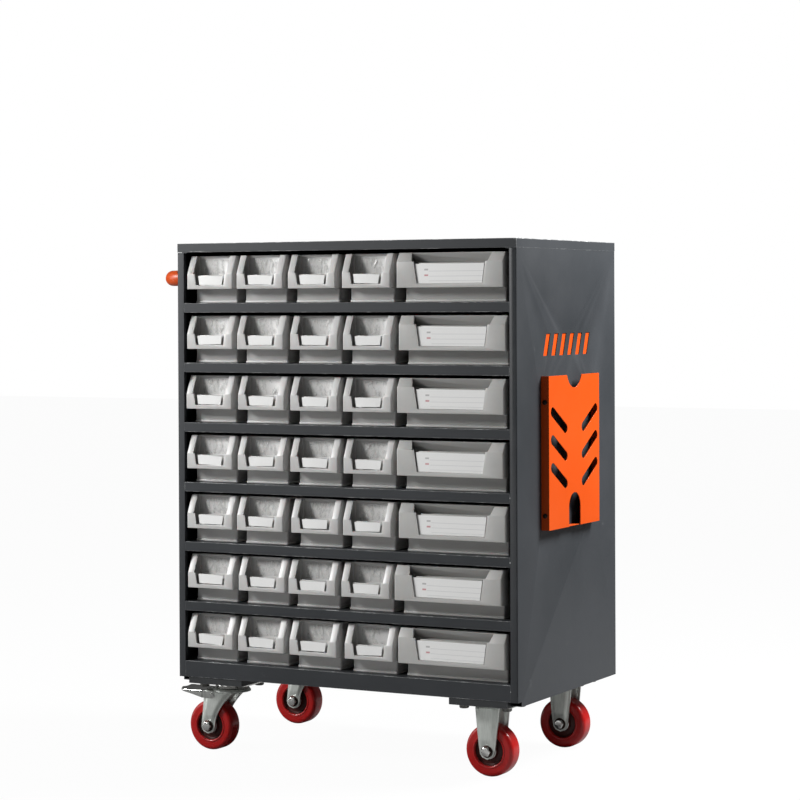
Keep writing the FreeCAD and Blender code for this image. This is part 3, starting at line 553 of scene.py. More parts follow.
def card_paper(name, printed):
    """White card: paper fibre, and on a printed card three thin rules and two small marks.

    The rules and marks are places on the card's own UV map: a rule is where V is within a
    hair of its height, and a mark is a small rectangle in U and V.
    """
    material, tree, shader = new_material(name, Roughness=0.62)
    place = tree.nodes.new("ShaderNodeTexCoord")
    fibre = noise(tree, place.outputs["Object"], 1600.0, 4.0, 0.7)
    paper = mixed(tree, remap(tree, fibre, 0.3, 0.7), colour(0.78, 0.78, 0.77), colour(0.86, 0.86, 0.85))
    if printed:
        split = add_node(tree, "ShaderNodeSeparateXYZ", {0: place.outputs["UV"]})
        across, up = split.outputs["X"], split.outputs["Y"]
        for height in (0.62, 0.36, 0.12):
            off_rule = arithmetic(tree, "ABSOLUTE", arithmetic(tree, "SUBTRACT", up, height), 0.0)
            rule = remap(tree, off_rule, 0.008, 0.02, 0.35, 0.0)
            start = remap(tree, across, 0.20, 0.21)
            paper = mixed(tree, arithmetic(tree, "MULTIPLY", rule, start), paper, colour(0.35, 0.35, 0.37))
        for height, ink in ((0.70, colour(0.35, 0.34, 0.34)), (0.41, colour(0.5, 0.12, 0.14))):
            off_up = arithmetic(tree, "ABSOLUTE", arithmetic(tree, "SUBTRACT", up, height), 0.0)
            off_side = arithmetic(tree, "ABSOLUTE", arithmetic(tree, "SUBTRACT", across, 0.165), 0.0)
            mark = arithmetic(tree, "MULTIPLY", remap(tree, off_up, 0.03, 0.055, 0.75, 0.0),
                              remap(tree, off_side, 0.024, 0.032, 1.0, 0.0))
            paper = mixed(tree, mark, paper, ink)
    tree.links.new(paper, shader.inputs["Base Color"])
    bumped(tree, shader, fibre, 0.2, 0.00005)
    return material


PLAIN_CARD = card_paper("plain_card", printed=False)
PRINTED_CARD = card_paper("printed_card", printed=True)


def crinkled_film():
    """Thin clear film stuck to the bin's front: mostly seen by its creases and cloudy patches."""
    material, tree, shader = new_material("crinkled_film", Roughness=0.16, IOR=1.45)
    place = tree.nodes.new("ShaderNodeTexCoord").outputs["Object"]
    creases = noise(tree, stretched(tree, place, (170.0, 170.0, 75.0)), 1.0, 4.0, 0.6)
    cloudy = remap(tree, creases, 0.46, 0.70, 0.14, 0.70)
    tree.links.new(cloudy, shader.inputs["Alpha"])
    tone = mixed(tree, remap(tree, creases, 0.4, 0.75), colour(0.5, 0.5, 0.49), colour(0.72, 0.72, 0.7))
    tree.links.new(tone, shader.inputs["Base Color"])
    bumped(tree, shader, creases, 0.9, 0.0006)
    return material


FILM = crinkled_film()
print("finishes made:", len(bpy.data.materials))

# %% [markdown]
# Where a part of the frame needs radii of more than one size, a copy of it is merged, its
# flat regions are joined, and its edges are rounded in turn: first the few that a rule picks,
# with a wide radius, and then all that are still sharp, with a narrow one.


# %% Rounded copies of frame parts
def rounded_copy(node, wide_rules, width):
    """Points and faces of a frame part with wide radii where a rule says, narrow elsewhere."""
    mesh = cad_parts[node].data.copy()
    work = bmesh.new()
    work.from_mesh(mesh)
    bmesh.ops.remove_doubles(work, verts=work.verts, dist=MERGE_DISTANCE)
    bmesh.ops.dissolve_limit(work, angle_limit=FLAT_ANGLE, verts=work.verts, edges=work.edges)

    def sharp_edges(degrees):
        limit = math.radians(degrees)
        return [edge for edge in work.edges if edge.is_manifold and edge.calc_face_angle() > limit]

    def soften(edges, radius, segments):
        bmesh.ops.bevel(work, geom=edges, offset=radius, offset_type="OFFSET", segments=segments,
                        profile=0.5, affect="EDGES", clamp_overlap=True)

    counts = []
    for rule, radius in wide_rules:
        chosen = [e for e in sharp_edges(40) if rule(e, [face.normal for face in e.link_faces])]
        soften(chosen, radius, 4)
        counts.append(len(chosen))
    soften(sharp_edges(24), width, 2)
    work.verts.index_update()
    points = np.array([vertex.co for vertex in work.verts])
    faces = [[vertex.index for vertex in face.verts] for face in work.faces]
    print(node, "wide edges", counts, "faces", len(faces))
    work.free()
    bpy.data.meshes.remove(mesh)
    return points, faces


# %% [markdown]
# ## The sheet-metal cabinet
# The panels, shelves, cover and channels are folded sheet, and their shape in the frame is
# right already.  Real folds have a small radius.  Three modifiers give that: Weld joins the
# loose triangles, a planar Decimate turns each flat region into one face, and Bevel rounds
# what is left sharp and puts a second paint on the rounding: a lighter tone all along, which
# is a painted highlight, with rubbed patches of real wear.  The side panels' upright bends are
# wider, so those two are rounded copies.
# region into one face, and Bevel rounds what is left sharp and puts a lighter, worn paint
# on the rounding.  The side panels' upright bends are wider, so those two are rounded copies.


# %% Dress the folded sheets
def dress_sheet(node, paint, edge_highlight_and_wear_paint, width):
    """Paint on a frame part, with rounded folds in a lighter edge paint: painted highlight plus rubbed wear.
    """
    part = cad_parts[node]
    part.data.materials.clear()
    part.data.materials.append(paint)
    weld = part.modifiers.new("weld", "WELD")
    weld.merge_threshold = MERGE_DISTANCE
    flats = part.modifiers.new("flats", "DECIMATE")
    flats.decimate_type = "DISSOLVE"
    flats.angle_limit = FLAT_ANGLE
    round_edges(part, width, segments=2, edge_material=edge_highlight_and_wear_paint)
    return part


# Every fold's rounding gets the lighter edge coat, a painted highlight with some real wear.
for sheet in ("top_cover", "back_panel", "base_panel", "shelves"):
    dress_sheet(sheet, ANTHRACITE, ANTHRACITE_EDGE_HIGHLIGHT_AND_WEAR, 0.6 * MM)


def outer_bend(edge, normals):
    """The long upright bends at the four corners of the cabinet."""
    upright = abs(edge.verts[0].co.z - edge.verts[1].co.z) > 0.1
    at_side = all(min(abs(v.co.x - LEFT_FACE), abs(v.co.x - RIGHT_FACE)) < 0.0001 for v in edge.verts)
    return upright and at_side and any(abs(n.y) > 0.9 for n in normals)


for node in ("left_side_panel", "right_side_panel"):
    folded = rounded_copy(node, [(outer_bend, 1.9 * MM)], 0.45 * MM)
    panel = make_piece(f"{node}_folded", folded, ANTHRACITE, "cabinet")
    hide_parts(node)
# The channels under the cabinet get the darker coat, which is painted shade.
dress_sheet("caster_mounts", CHANNEL_COAT_PAINTED_SHADE, ANTHRACITE_EDGE_HIGHLIGHT_AND_WEAR, 0.6 * MM)
dress_sheet("side_pocket", ORANGE, ORANGE_EDGE_HIGHLIGHT_AND_WEAR, 0.4 * MM)
dress_sheet("accent_plate", ORANGE, ORANGE_EDGE_HIGHLIGHT_AND_WEAR, 0.3 * MM)
print("sheets dressed")

# %% [markdown]
# ## Bins
# A bin is one moulding: a long open box, and in front of it a hood to pull by.  The shape is
# in the frame; the copy below is merged, its flat regions are made single faces, and every
# edge is rounded as the mould rounds it.  A foot band and a rim, which stiffen the real
# bin, are bands carried round a rounded rectangle.


# %% Measures of a bin
def frame_box(node):
    """A part's box as two arrays."""
    low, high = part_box(node)
    return np.array(low), np.array(high)


HOOD_DEPTH = 22 * MM
BIN_WALL = 2 * MM
BODY_INSET = {"small": 4.25 * MM, "large": 5.25 * MM}
CARD_FOOT = 28.3 * MM


def band(centre, half_x, half_y, radius, profile):
    """A closed profile of (outset, height) points carried round a rounded rectangle."""
    return ring_of_loops(stacked_rectangles(centre, half_x, half_y, radius, profile))


def rail(x, y, low, high, size):
    """A small upright square rail, for a divider."""
    outline = [(x - size, y - size), (x + size, y - size), (x + size, y + size), (x - size, y + size)]
    return bar(outline, 2, low, high)


def bin_trim(kind, low, high):
    """Foot band, rim, and the pairs of divider rails inside the walls."""
    front = low[1] + HOOD_DEPTH
    centre = ((low[0] + high[0]) / 2, (front + high[1]) / 2, low[2])
    half_x = (high[0] - low[0]) / 2 - BODY_INSET[kind]
    half_y = (high[1] - front) / 2
    height = high[2] - low[2]
    foot = band(centre, half_x, half_y, 2 * MM, in_mm(
        [(-1.2, 0.1), (0.5, 0.1), (0.9, 0.7), (0.9, 2.6), (0.4, 3.3), (-1.2, 3.6)]))
    rim = band(centre, half_x, half_y, 2 * MM, [
        (-2.6 * MM, height - 3 * MM), (0.3 * MM, height - 3.4 * MM), (0.9 * MM, height - 2.8 * MM),
        (0.9 * MM, height - 0.6 * MM), (0.4 * MM, height - 0.1 * MM), (-2.2 * MM, height - 0.1 * MM),
        (-2.6 * MM, height - 0.5 * MM)])
    rails = []
    for step in range(1, 7):
        y = front + step * (high[1] - front) / 7
        for side in (-1, 1):
            for twin in (-1, 1):
                x = centre[0] + side * (half_x - BIN_WALL)
                rails.append(rail(x, y + twin * 1.6 * MM, low[2] + 3 * MM, high[2] - 6 * MM, 0.7 * MM))
    return [foot, rim] + rails


# %% The moulding, once for each kind
def bin_rules(node):
    """Two rules that pick a bin's outer hood edges, and the front corners of its body."""
    low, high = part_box(node)
    wall_y = low.y + HOOD_DEPTH

    def hood_edge(edge, normals):
        at_side = [min(abs(v.co.x - low.x), abs(v.co.x - high.x)) < 0.0001 for v in edge.verts]
        return all(at_side) and any(abs(n.x) > 0.9 for n in normals) and any(n.y < -0.5 for n in normals)

    def body_edge(edge, normals):
        upright = abs(edge.verts[0].co.z - edge.verts[1].co.z) > 0.012
        at_wall = all(abs(v.co.y - wall_y) < 0.0001 for v in edge.verts)
        at_foot = min(v.co.z for v in edge.verts) < low.z + 0.002
        return upright and at_wall and at_foot and any(abs(n.x) > 0.9 for n in normals)

    return hood_edge, body_edge


MOULDINGS = {}
for kind, node in (("small", "small_drawer_r1_c1"), ("large", "large_drawer_r1")):
    low, high = frame_box(node)
    hood_edge, body_edge = bin_rules(node)
    copy = rounded_copy(node, [(hood_edge, 2.4 * MM), (body_edge, 2.6 * MM)], 0.7 * MM)
    surface = joined([copy] + bin_trim(kind, low, high))
    MOULDINGS[kind] = (surface[0] - low, surface[1])
    print(kind, "bin:", len(surface[1]), "faces")


# %% [markdown]
# ## Cards and film
# Each hood holds a card in its slot, a trapezoid slightly narrower at its foot.  The cards
# were pushed in by hand, so they sit a little high or low and a little tilted, each by its
# own seeded amount.  On the small bins a patch of clear film, badly stuck and crinkled,
# covers the wall above the card.


# %% Card and film surfaces
def card_surface(middle, foot, width_top, width_foot, height, tilt, bow):
    """A bowed trapezoid: width runs from foot to top in a straight line, bow is a parabola."""
    across = np.linspace(-0.5, 0.5, 13)[None, :]
    up = np.linspace(0, 1, 5)[:, None]
    width = width_foot + (width_top - width_foot) * up
    x = across * width
    z = up * height + 0 * across
    y = bow * (1 - (2 * across) ** 2) + 0 * up
    turned_x = x * math.cos(tilt) - (z - height / 2) * math.sin(tilt)
    turned_z = x * math.sin(tilt) + (z - height / 2) * math.cos(tilt) + height / 2
    grid = np.stack([middle[0] + turned_x, middle[1] + y, foot + turned_z], -1)
    return slab(grid, np.array([0.0, 0.35 * MM, 0.0]))


def card_map(piece, width, height, low_x, low_z):
    """Gives the card its own UV map: U across it and V up it."""
    mesh = piece.data
    corners = np.empty(len(mesh.loops), dtype=np.int32)
    mesh.loops.foreach_get("vertex_index", corners)
    places = np.empty(len(mesh.vertices) * 3, dtype=np.float32)
    mesh.vertices.foreach_get("co", places)
    places = places.reshape(-1, 3)[corners]
    flat = np.stack([(places[:, 0] - low_x) / width, (places[:, 2] - low_z) / height], -1)
    layer = mesh.uv_layers.new(name="card")
    layer.data.foreach_set("uv", flat.astype(np.float32).ravel())


def film_surface(middle, low, width, height, seed):
    """A flat patch with creases: a few tilted ridges, each a narrow bell across its line."""
    draw = np.random.default_rng(seed)
    x, z = np.meshgrid(np.linspace(-0.5, 0.5, 45), np.linspace(0, 1, 23))
    lift = np.zeros_like(x)
    for _ in range(9):
        angle = draw.uniform(-0.5, 0.5)
        place = draw.uniform(-0.45, 0.45)
        offset = (x - place) * math.cos(angle) - (z - 0.5) * math.sin(angle)
        lift += draw.uniform(0.2, 0.7) * MM * np.exp(-(offset / draw.uniform(0.012, 0.04)) ** 2)
    lift *= np.clip(6 * (0.5 - np.abs(x)), 0, 1) * np.clip(6 * z, 0, 1) * np.clip(6 * (1 - z), 0, 1)
    grid = np.stack([middle[0] + x * width, middle[1] - lift, low + z * height], -1)
    return grid.reshape(-1, 3), grid_quads(*x.shape)


# %% Build all the bins
CARD_SIZES = {"small": (46.0, 41.8, 14.0), "large": (117.0, 109.0, 29.5)}
PUSHED_LEFT = {6: {3: 4.5 * MM, 4: 6.5 * MM, "large": 6.5 * MM}, 1: {3: 4.0 * MM, 4: 2.5 * MM}}
draw = np.random.default_rng(7)


def build_bin(kind, node, body, plastic, pushed):
    """One bin with its card, and on a small bin its film; pushed is how far it was slid left."""
    low, high = frame_box(node)
    points, faces = MOULDINGS[kind]
    size = high - low
    yaw = draw.uniform(-0.006, 0.006)
    shift = np.array([draw.uniform(-2.6, 0.8) * MM - pushed, draw.uniform(-0.8, 1.6) * MM, 0.0])
    pivot = np.array([size[0] / 2, size[1] / 2, 0.0])
    loose = points - pivot
    turned_points = loose.copy()
    turned_points[:, 0] = loose[:, 0] - yaw * loose[:, 1]
    turned_points[:, 1] = loose[:, 1] + yaw * loose[:, 0]
    moulding = make_piece(f"{node}_moulding", (turned_points + pivot + low + shift, faces), plastic,
                          body, smooth_angle=50.0)
    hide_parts(node)
    top_width, foot_width, card_height = (value * MM for value in CARD_SIZES[kind])
    middle = np.array([(low[0] + high[0]) / 2 + shift[0] + yaw * size[1] / 2, low[1] + shift[1] + 1.9 * MM])
    slack = 1.0 if kind == "small" else 0.25
    foot = low[2] + CARD_FOOT + draw.uniform(0.1, 1.6 * slack) * MM
    tilt = draw.normal(0, 0.018) * slack
    card_x = draw.uniform(-0.9, 0.9) * MM
    surface = card_surface(middle + [card_x, 0.0], foot, top_width, foot_width, card_height, tilt,
                           draw.uniform(-0.5, 0.3) * MM)
    paper = PLAIN_CARD if kind == "small" else PRINTED_CARD
    card = make_piece(f"{node}_card", surface, paper, body)
    card_map(card, top_width, card_height, middle[0] + card_x - top_width / 2, foot)
    if kind == "small":
        film_middle = middle + [draw.uniform(-1, 1) * MM, HOOD_DEPTH - 2.4 * MM]
        film = film_surface(film_middle, low[2] + 45 * MM, 46 * MM, 24 * MM, int(draw.integers(1e6)))
        make_piece(f"{node}_film", film, FILM, body, smooth_angle=180.0)


for row in ROWS:
    for column in SMALL_COLUMNS:
        pushed = PUSHED_LEFT.get(row, {}).get(column, 0.0)
        build_bin("small", f"small_drawer_r{row}_c{column}", f"bin_r{row}_c{column}", SMALL_PLASTIC, pushed)
    pushed = PUSHED_LEFT.get(row, {}).get("large", 0.0)
    build_bin("large", f"large_drawer_r{row}", f"bin_r{row}_large", LARGE_PLASTIC, pushed)
print("bins built")

# %% [markdown]
# ## Push handle
# A tube is a circle carried along a path.  The path is a leg, a quarter turn, the grip, a
# quarter turn and a leg; the two flanges are turned shapes with a weld fillet.

# %% Handle
handle_low, handle_high = frame_box("push_handle")
TUBE_RADIUS = 12.5 * MM
HANDLE_BEND = 30 * MM
FLANGE_RADIUS = 24 * MM
grip_x = handle_low[0] + TUBE_RADIUS
leg_front = handle_low[1] + FLANGE_RADIUS
leg_back = handle_high[1] - FLANGE_RADIUS
handle_z = (handle_low[2] + handle_high[2]) / 2


def handle_path():
    """Straight runs and two quarter circles, as one line of points."""
    quarter = np.linspace(0, np.pi / 2, 13)
    front_arc = np.stack([grip_x + HANDLE_BEND - HANDLE_BEND * np.sin(quarter),
                          leg_front + HANDLE_BEND - HANDLE_BEND * np.cos(quarter)], -1)
    back_arc = np.stack([front_arc[::-1, 0], leg_front + leg_back - front_arc[::-1, 1]], -1)
    foot_x = LEFT_FACE - 0.2 * MM
    flat = np.concatenate([[[foot_x, leg_front]], front_arc, back_arc, [[foot_x, leg_back]]])
    return np.concatenate([flat, np.full((len(flat), 1), handle_z)], 1)


handle_surfaces = [tube(handle_path(), TUBE_RADIUS, (0, 0, 1), sides=32)]
for leg_y in (leg_front, leg_back):
    flange = [(0.0, 0.0), (FLANGE_RADIUS, 0.0), (FLANGE_RADIUS, 2.2 * MM), (FLANGE_RADIUS - 0.8 * MM, 3 * MM)]
    flange += in_mm([(16.5, 3), (14.2, 3.8), (13, 5.4), (12.2, 6), (0, 6)])
    handle_surfaces.append(closed_loops(turned(flange, (LEFT_FACE, leg_y, handle_z), (-1, 0, 0), 40)))
handle = make_piece("push_handle_tube", joined(handle_surfaces), ORANGE, "cabinet")
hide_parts("push_handle")
print("handle built")

# %% [markdown]
# ## Casters
# A fork is one strip of steel folded into an upside-down U, pressed with a raised middle so
# that it is stiff.  It is a grid: one parameter runs along the U, the other across the
# strip.  Wheels, hubs and races are turned shapes.

# %% Caster measures
WHEEL_RADIUS = 40 * MM
STRIP = 2.8 * MM
FORK_HALF = 20.6 * MM
FORK_BEND = 6 * MM


def caster_middles():
    """Middle of each wheel, from its box."""
    middles = {}
    for end in ("front", "rear"):
        for side in ("left", "right"):
            low, high = frame_box(f"wheel_{end}_{side}")
            middles[end, side] = (low + high) / 2
    return middles


WHEELS = caster_middles()
PLATE_TOP = frame_box("rigid_forks")[1][2]
PLATE_LENGTH, PLATE_WIDTH, PLATE_THICKNESS = 90 * MM, 70 * MM, 3 * MM
PLATE_UNDERSIDE = PLATE_TOP - PLATE_THICKNESS
PLATE_BOLT_X, PLATE_BOLT_Y = 36 * MM, 25 * MM
print({key: tuple(np.round(value, 3)) for key, value in WHEELS.items()})


# %% Pressed forks
def u_path(top, foot, half, bend):
    """The U seen along X: up the front leg, round, across, round, and down the back leg.

    Gives (y, z) along it and the outward direction at each point.
    """
    rise = np.linspace(foot, top - bend, 26)
    quarter = np.linspace(0, np.pi / 2, 8)[1:-1]
    across = np.linspace(-(half - bend), half - bend, 8)
    front = np.stack([np.full_like(rise, -half), rise], -1)
    corner = np.stack([-(half - bend) - bend * np.cos(quarter), top - bend + bend * np.sin(quarter)], -1)
    web = np.stack([across, np.full_like(across, top)], -1)
    back_corner = corner[::-1] * [-1, 1]
    back = front[::-1] * [-1, 1]
    path = np.concatenate([front, corner, web, back_corner, back])
    heading = np.gradient(path, axis=0)
    heading /= np.linalg.norm(heading, axis=1, keepdims=True)
    outward = np.stack([-heading[:, 1], heading[:, 0]], -1)
    return path, outward


def fork_surface(middle, top, edges, axle_x, foot_radius=12.5 * MM):
    """The folded strip: edges(z) gives its two sides in X, and the foot is a half circle.

    Across the strip the middle is raised by a smooth step; through its thickness the grid
    is repeated one strip inwards.
    """
    foot = WHEEL_RADIUS - foot_radius
    path, outward = u_path(top, foot, FORK_HALF, FORK_BEND)
    height = path[:, 1]
    low_x, high_x = edges(height)
    below = np.clip(WHEEL_RADIUS - height, 0, foot_radius)
    round_half = np.sqrt(np.maximum(foot_radius ** 2 - below ** 2, 0))
    in_foot = height < WHEEL_RADIUS
    low_x = np.where(in_foot, axle_x - round_half, low_x)
    high_x = np.where(in_foot, axle_x + round_half, high_x)
    across = np.linspace(-1, 1, 17)
    shoulder = np.clip((0.90 - np.abs(across)) / 0.34, 0, 1)
    raised = shoulder * 2.8 * MM
    fade = np.clip((height - WHEEL_RADIUS) / (16 * MM), 0, 1)
    on_leg = np.clip(np.abs(outward[:, 0]) * 1.3 - 0.3, 0, 1)
    x = (low_x + high_x)[:, None] / 2 + across[None, :] * (high_x - low_x)[:, None] / 2
    lift = raised[None, :] * (fade * on_leg)[:, None]
    y = path[:, 0, None] + outward[:, 0, None] * lift
    z = path[:, 1, None] + outward[:, 1, None] * lift
    outer = np.stack([x, y, z], -1)
    inward = np.stack([np.zeros(len(path)), -outward[:, 0], -outward[:, 1]], -1)[:, None, :] * STRIP
    points, faces = slab(outer, inward)
    return points + [middle[0], middle[1], 0.0], faces


def rigid_edges(height):
    """Straight taper from 20 mm each side at the plate to 12.5 mm at the axle."""
    share = np.clip((height - WHEEL_RADIUS) / (PLATE_UNDERSIDE - WHEEL_RADIUS), 0, 1)
    half = (12.5 + 7.5 * share ** 0.8) * MM
    return -half, half


def rounded_plate(centre):
    """A caster's flat plate, with round corners and a small rounding on its edges."""
    ease = 0.5 * MM
    stations = [(-ease, 0.0), (0.0, ease), (0.0, PLATE_THICKNESS - ease), (-ease, PLATE_THICKNESS)]
    place = (centre[0], centre[1], PLATE_UNDERSIDE)
    return closed_loops(stacked_rectangles(place, PLATE_LENGTH / 2, PLATE_WIDTH / 2, 7 * MM, stations))


rigid_surfaces = []
for end in ("front", "rear"):
    middle = WHEELS[end, "right"]
    rigid_surfaces.append(rounded_plate(middle))
    rigid_surfaces.append(fork_surface(middle, PLATE_UNDERSIDE, rigid_edges, 0.0))
rigid_forks = make_piece("rigid_forks_pressed", joined(rigid_surfaces), ZINC, "cabinet")
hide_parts("rigid_forks")
print("rigid forks built")


# %% [markdown]
# ## Wheels
# A tyre's section is a flat tread with round shoulders and a flat side, closed into a ring.
# The core is dished and carries a steel bearing with a dark seal.


# %% Wheel sections
def rounded_section(half_width, outer, inner, shoulder, steps=7):
    """The tyre's section: shoulder arcs at the tread's two edges, straight elsewhere."""
    quarter = np.linspace(0, np.pi / 2, steps)
    right = np.stack([outer - shoulder + shoulder * np.cos(quarter),
                      half_width - shoulder + shoulder * np.sin(quarter)], -1)
    left = right[::-1] * [1, -1]
    lip = 1.6 * MM
    right_side = [(inner + lip, half_width), (inner, half_width - lip)]
    left_side = [(inner, -half_width + lip), (inner + lip, -half_width)]
    return np.concatenate([left, right, right_side, left_side])


def wheel_surfaces(middle):
    """Tyre; core; bearing ring; and dark seal, each with its turned section."""
    axis = (0, 1, 0)
    tread = rounded_section(15 * MM, WHEEL_RADIUS, 23.6 * MM, 6.5 * MM)
    tyres = [ring_of_loops(turned(tread, middle, axis, 72))]
    bead = [(24.0, 12.0), (24.2, 15.3), (25.0, 15.9), (26.2, 15.9), (27.0, 15.2), (27.2, 12.0)]
    for side in (-1, 1):
        tyres.append(ring_of_loops(turned(in_mm(bead, side), middle, axis, 72)))
    tyre = joined(tyres)
    core_section = []
    for side in (-1, 1):
        half = [(12.6, 15.6), (13.4, 14.8), (14.2, 10.0), (20.5, 8.2), (22.6, 9.6), (24.2, 13.2)]
        points = in_mm(half, side)
        core_section += points if side > 0 else points[::-1]
    core_section = core_section[6:] + core_section[:6]
    core = ring_of_loops(turned(core_section, middle, axis, 60))
    bearing = []
    seal = []
    for side in (-1, 1):
        ring = [(5.4, 12.0), (5.4, 16.6), (7.2, 17.0), (7.8, 16.4), (7.8, 12.0)]
        outer_ring = [(10.6, 12.0), (10.6, 15.9), (12.0, 16.3), (12.7, 15.7), (12.7, 12.0)]
        cover = [(7.7, 12.0), (7.7, 15.4), (10.7, 15.4), (10.7, 12.0)]
        for section, kept in ((ring, bearing), (outer_ring, bearing), (cover, seal)):
            kept.append(ring_of_loops(turned(in_mm(section, side), middle, axis, 40)))
    return tyre, core, joined(bearing), joined(seal)


for (end, side), middle in WHEELS.items():
    body = f"wheel_{end}_{side}"
    tyre, core, bearing, seal = wheel_surfaces(middle)
    tyre_piece = make_piece(f"{body}_tyre", tyre, RED_TYRE, body)
    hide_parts(body)
    make_piece(f"{body}_core", core, WHEEL_CORE, body)
    make_piece(f"{body}_bearing", bearing, BOLT_STEEL, body)
    make_piece(f"{body}_seal", seal, WHEEL_CORE, body)
print("wheels built")


# %% Axle bolts
def axle_surfaces(middle):
    """Shank, chamfered head in front, and nut with the thread's end behind."""
    out = FORK_HALF + 0.6 * MM
    profile = [(0, -out), (5 * MM, -out), (5 * MM, out + 7.6 * MM), (4.3 * MM, out + 8.4 * MM),
               (0, out + 8.4 * MM)]
    surfaces = [closed_loops(turned(profile, middle, (0, 1, 0), 32))]
    for side in (-1, 1):
        start = middle + np.array([0, side * (out + 1.4 * MM), 0])
        surfaces.append(hexagon_head(start, (0, side, 0), 13.5 * MM, 5 * MM))
    return surfaces


def washer_surfaces(middle):
    """A dark spring washer on each side of the fork, with a small rounding on its rim."""
    out = FORK_HALF + 0.6 * MM
    section = in_mm([(0, 0), (9.4, 0), (9.4, 1.1), (8.9, 1.5), (0, 1.5)])
    starts = [(middle + np.array([0, side * out, 0]), side) for side in (-1, 1)]
    return [closed_loops(turned(section, start, (0, side, 0), 40)) for start, side in starts]


rigid_places = [WHEELS["front", "right"], WHEELS["rear", "right"]]
rigid_bolts = joined(sum([axle_surfaces(place) for place in rigid_places], []))
rigid_axles = make_piece("rigid_axle_bolts", rigid_bolts, BRIGHT_ZINC, "cabinet", smooth_angle=28.0)
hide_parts("rigid_axles")
rigid_washers = joined(sum([washer_surfaces(place) for place in rigid_places], []))
make_piece("rigid_washers", rigid_washers, BLACK_SCREW, "cabinet")
for end in ("front", "rear"):
    body = f"caster_{end}_left"
    bolt = joined(axle_surfaces(WHEELS[end, "left"]))
    swivel_axle = make_piece(f"swivel_axle_bolt_{end}", bolt, BRIGHT_ZINC, body, smooth_angle=28.0)
    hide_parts(f"swivel_axle_{end}")
    make_piece(f"swivel_washers_{end}", joined(washer_surfaces(WHEELS[end, "left"])), BLACK_SCREW, body)

# %% [markdown]
# ## Swivel casters
# The fork hangs from a round crown that turns on balls under a fixed plate.  The crown, the
# race above it and the king pin's rivet are turned shapes; the legs are the same folded
# strip as before, but they trail behind the king pin.

# %% Swivel measures
TRAIL = 33 * MM
LEG_TOP = 98.9 * MM


def swivel_edges(height):
    """The trailing edge is nearly straight; the leading edge sweeps back in a power curve."""
    share = np.clip((height - WHEEL_RADIUS) / (LEG_TOP - WHEEL_RADIUS), 0, 1)
    low = (-45.5 + 6.0 * share) * MM
    high = (-20.5 + 38.0 * share ** 1.9) * MM
    return low, high


def crown_surfaces(king):
    """Crown disc with a turned-down rim."""
    crown = [(6.4, 98.6), (22.0, 98.6), (27.6, 98.2), (29.6, 96.4), (30.4, 96.6), (30.2, 98.8),
             (28.6, 100.7), (25.0, 101.4), (6.4, 101.4)]
    return [ring_of_loops(turned(in_mm(crown), (king[0], king[1], 0), (0, 0, 1), 56))]


def race_surfaces(king):
    """Fixed side of the swivel: plate, pressed race, balls' cover, and the rivet below."""
    race = [(0.0, 109.6), (28.5, 109.6), (28.5, 108.6), (26.2, 107.6), (26.6, 104.6), (27.6, 103.2),
            (26.6, 102.3), (22.0, 102.2), (0.0, 102.2)]
    rivet = [(0.0, 103.0), (6.0, 103.0), (6.0, 97.5), (9.0, 97.3), (8.6, 95.9), (6.6, 94.8), (0.0, 94.5)]
    surfaces = [rounded_plate(king)]
    for section in (race, rivet):
        surfaces.append(closed_loops(turned(in_mm(section), (king[0], king[1], 0), (0, 0, 1), 56)))
    return surfaces


race_parts = []
for end in ("front", "rear"):
    wheel = WHEELS[end, "left"]
    king = np.array([wheel[0] + TRAIL, wheel[1], 0.0])
    race_parts += race_surfaces(king)
    fork_parts = [fork_surface(king, LEG_TOP, swivel_edges, -TRAIL)] + crown_surfaces(king)
    fork = make_piece(f"swivel_fork_{end}_pressed", joined(fork_parts), ZINC, f"caster_{end}_left")
    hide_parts(f"swivel_fork_{end}")
races = make_piece("swivel_races", joined(race_parts), BRIGHT_ZINC, "cabinet")
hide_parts("swivel_top_plates")
print("swivels built")


# %% [markdown]
# ## Brake pedals
# The pedal is a pressed channel: a flat tongue for the shoe sole and two sides that taper
# towards the tip and hang on a rivet through the fork.


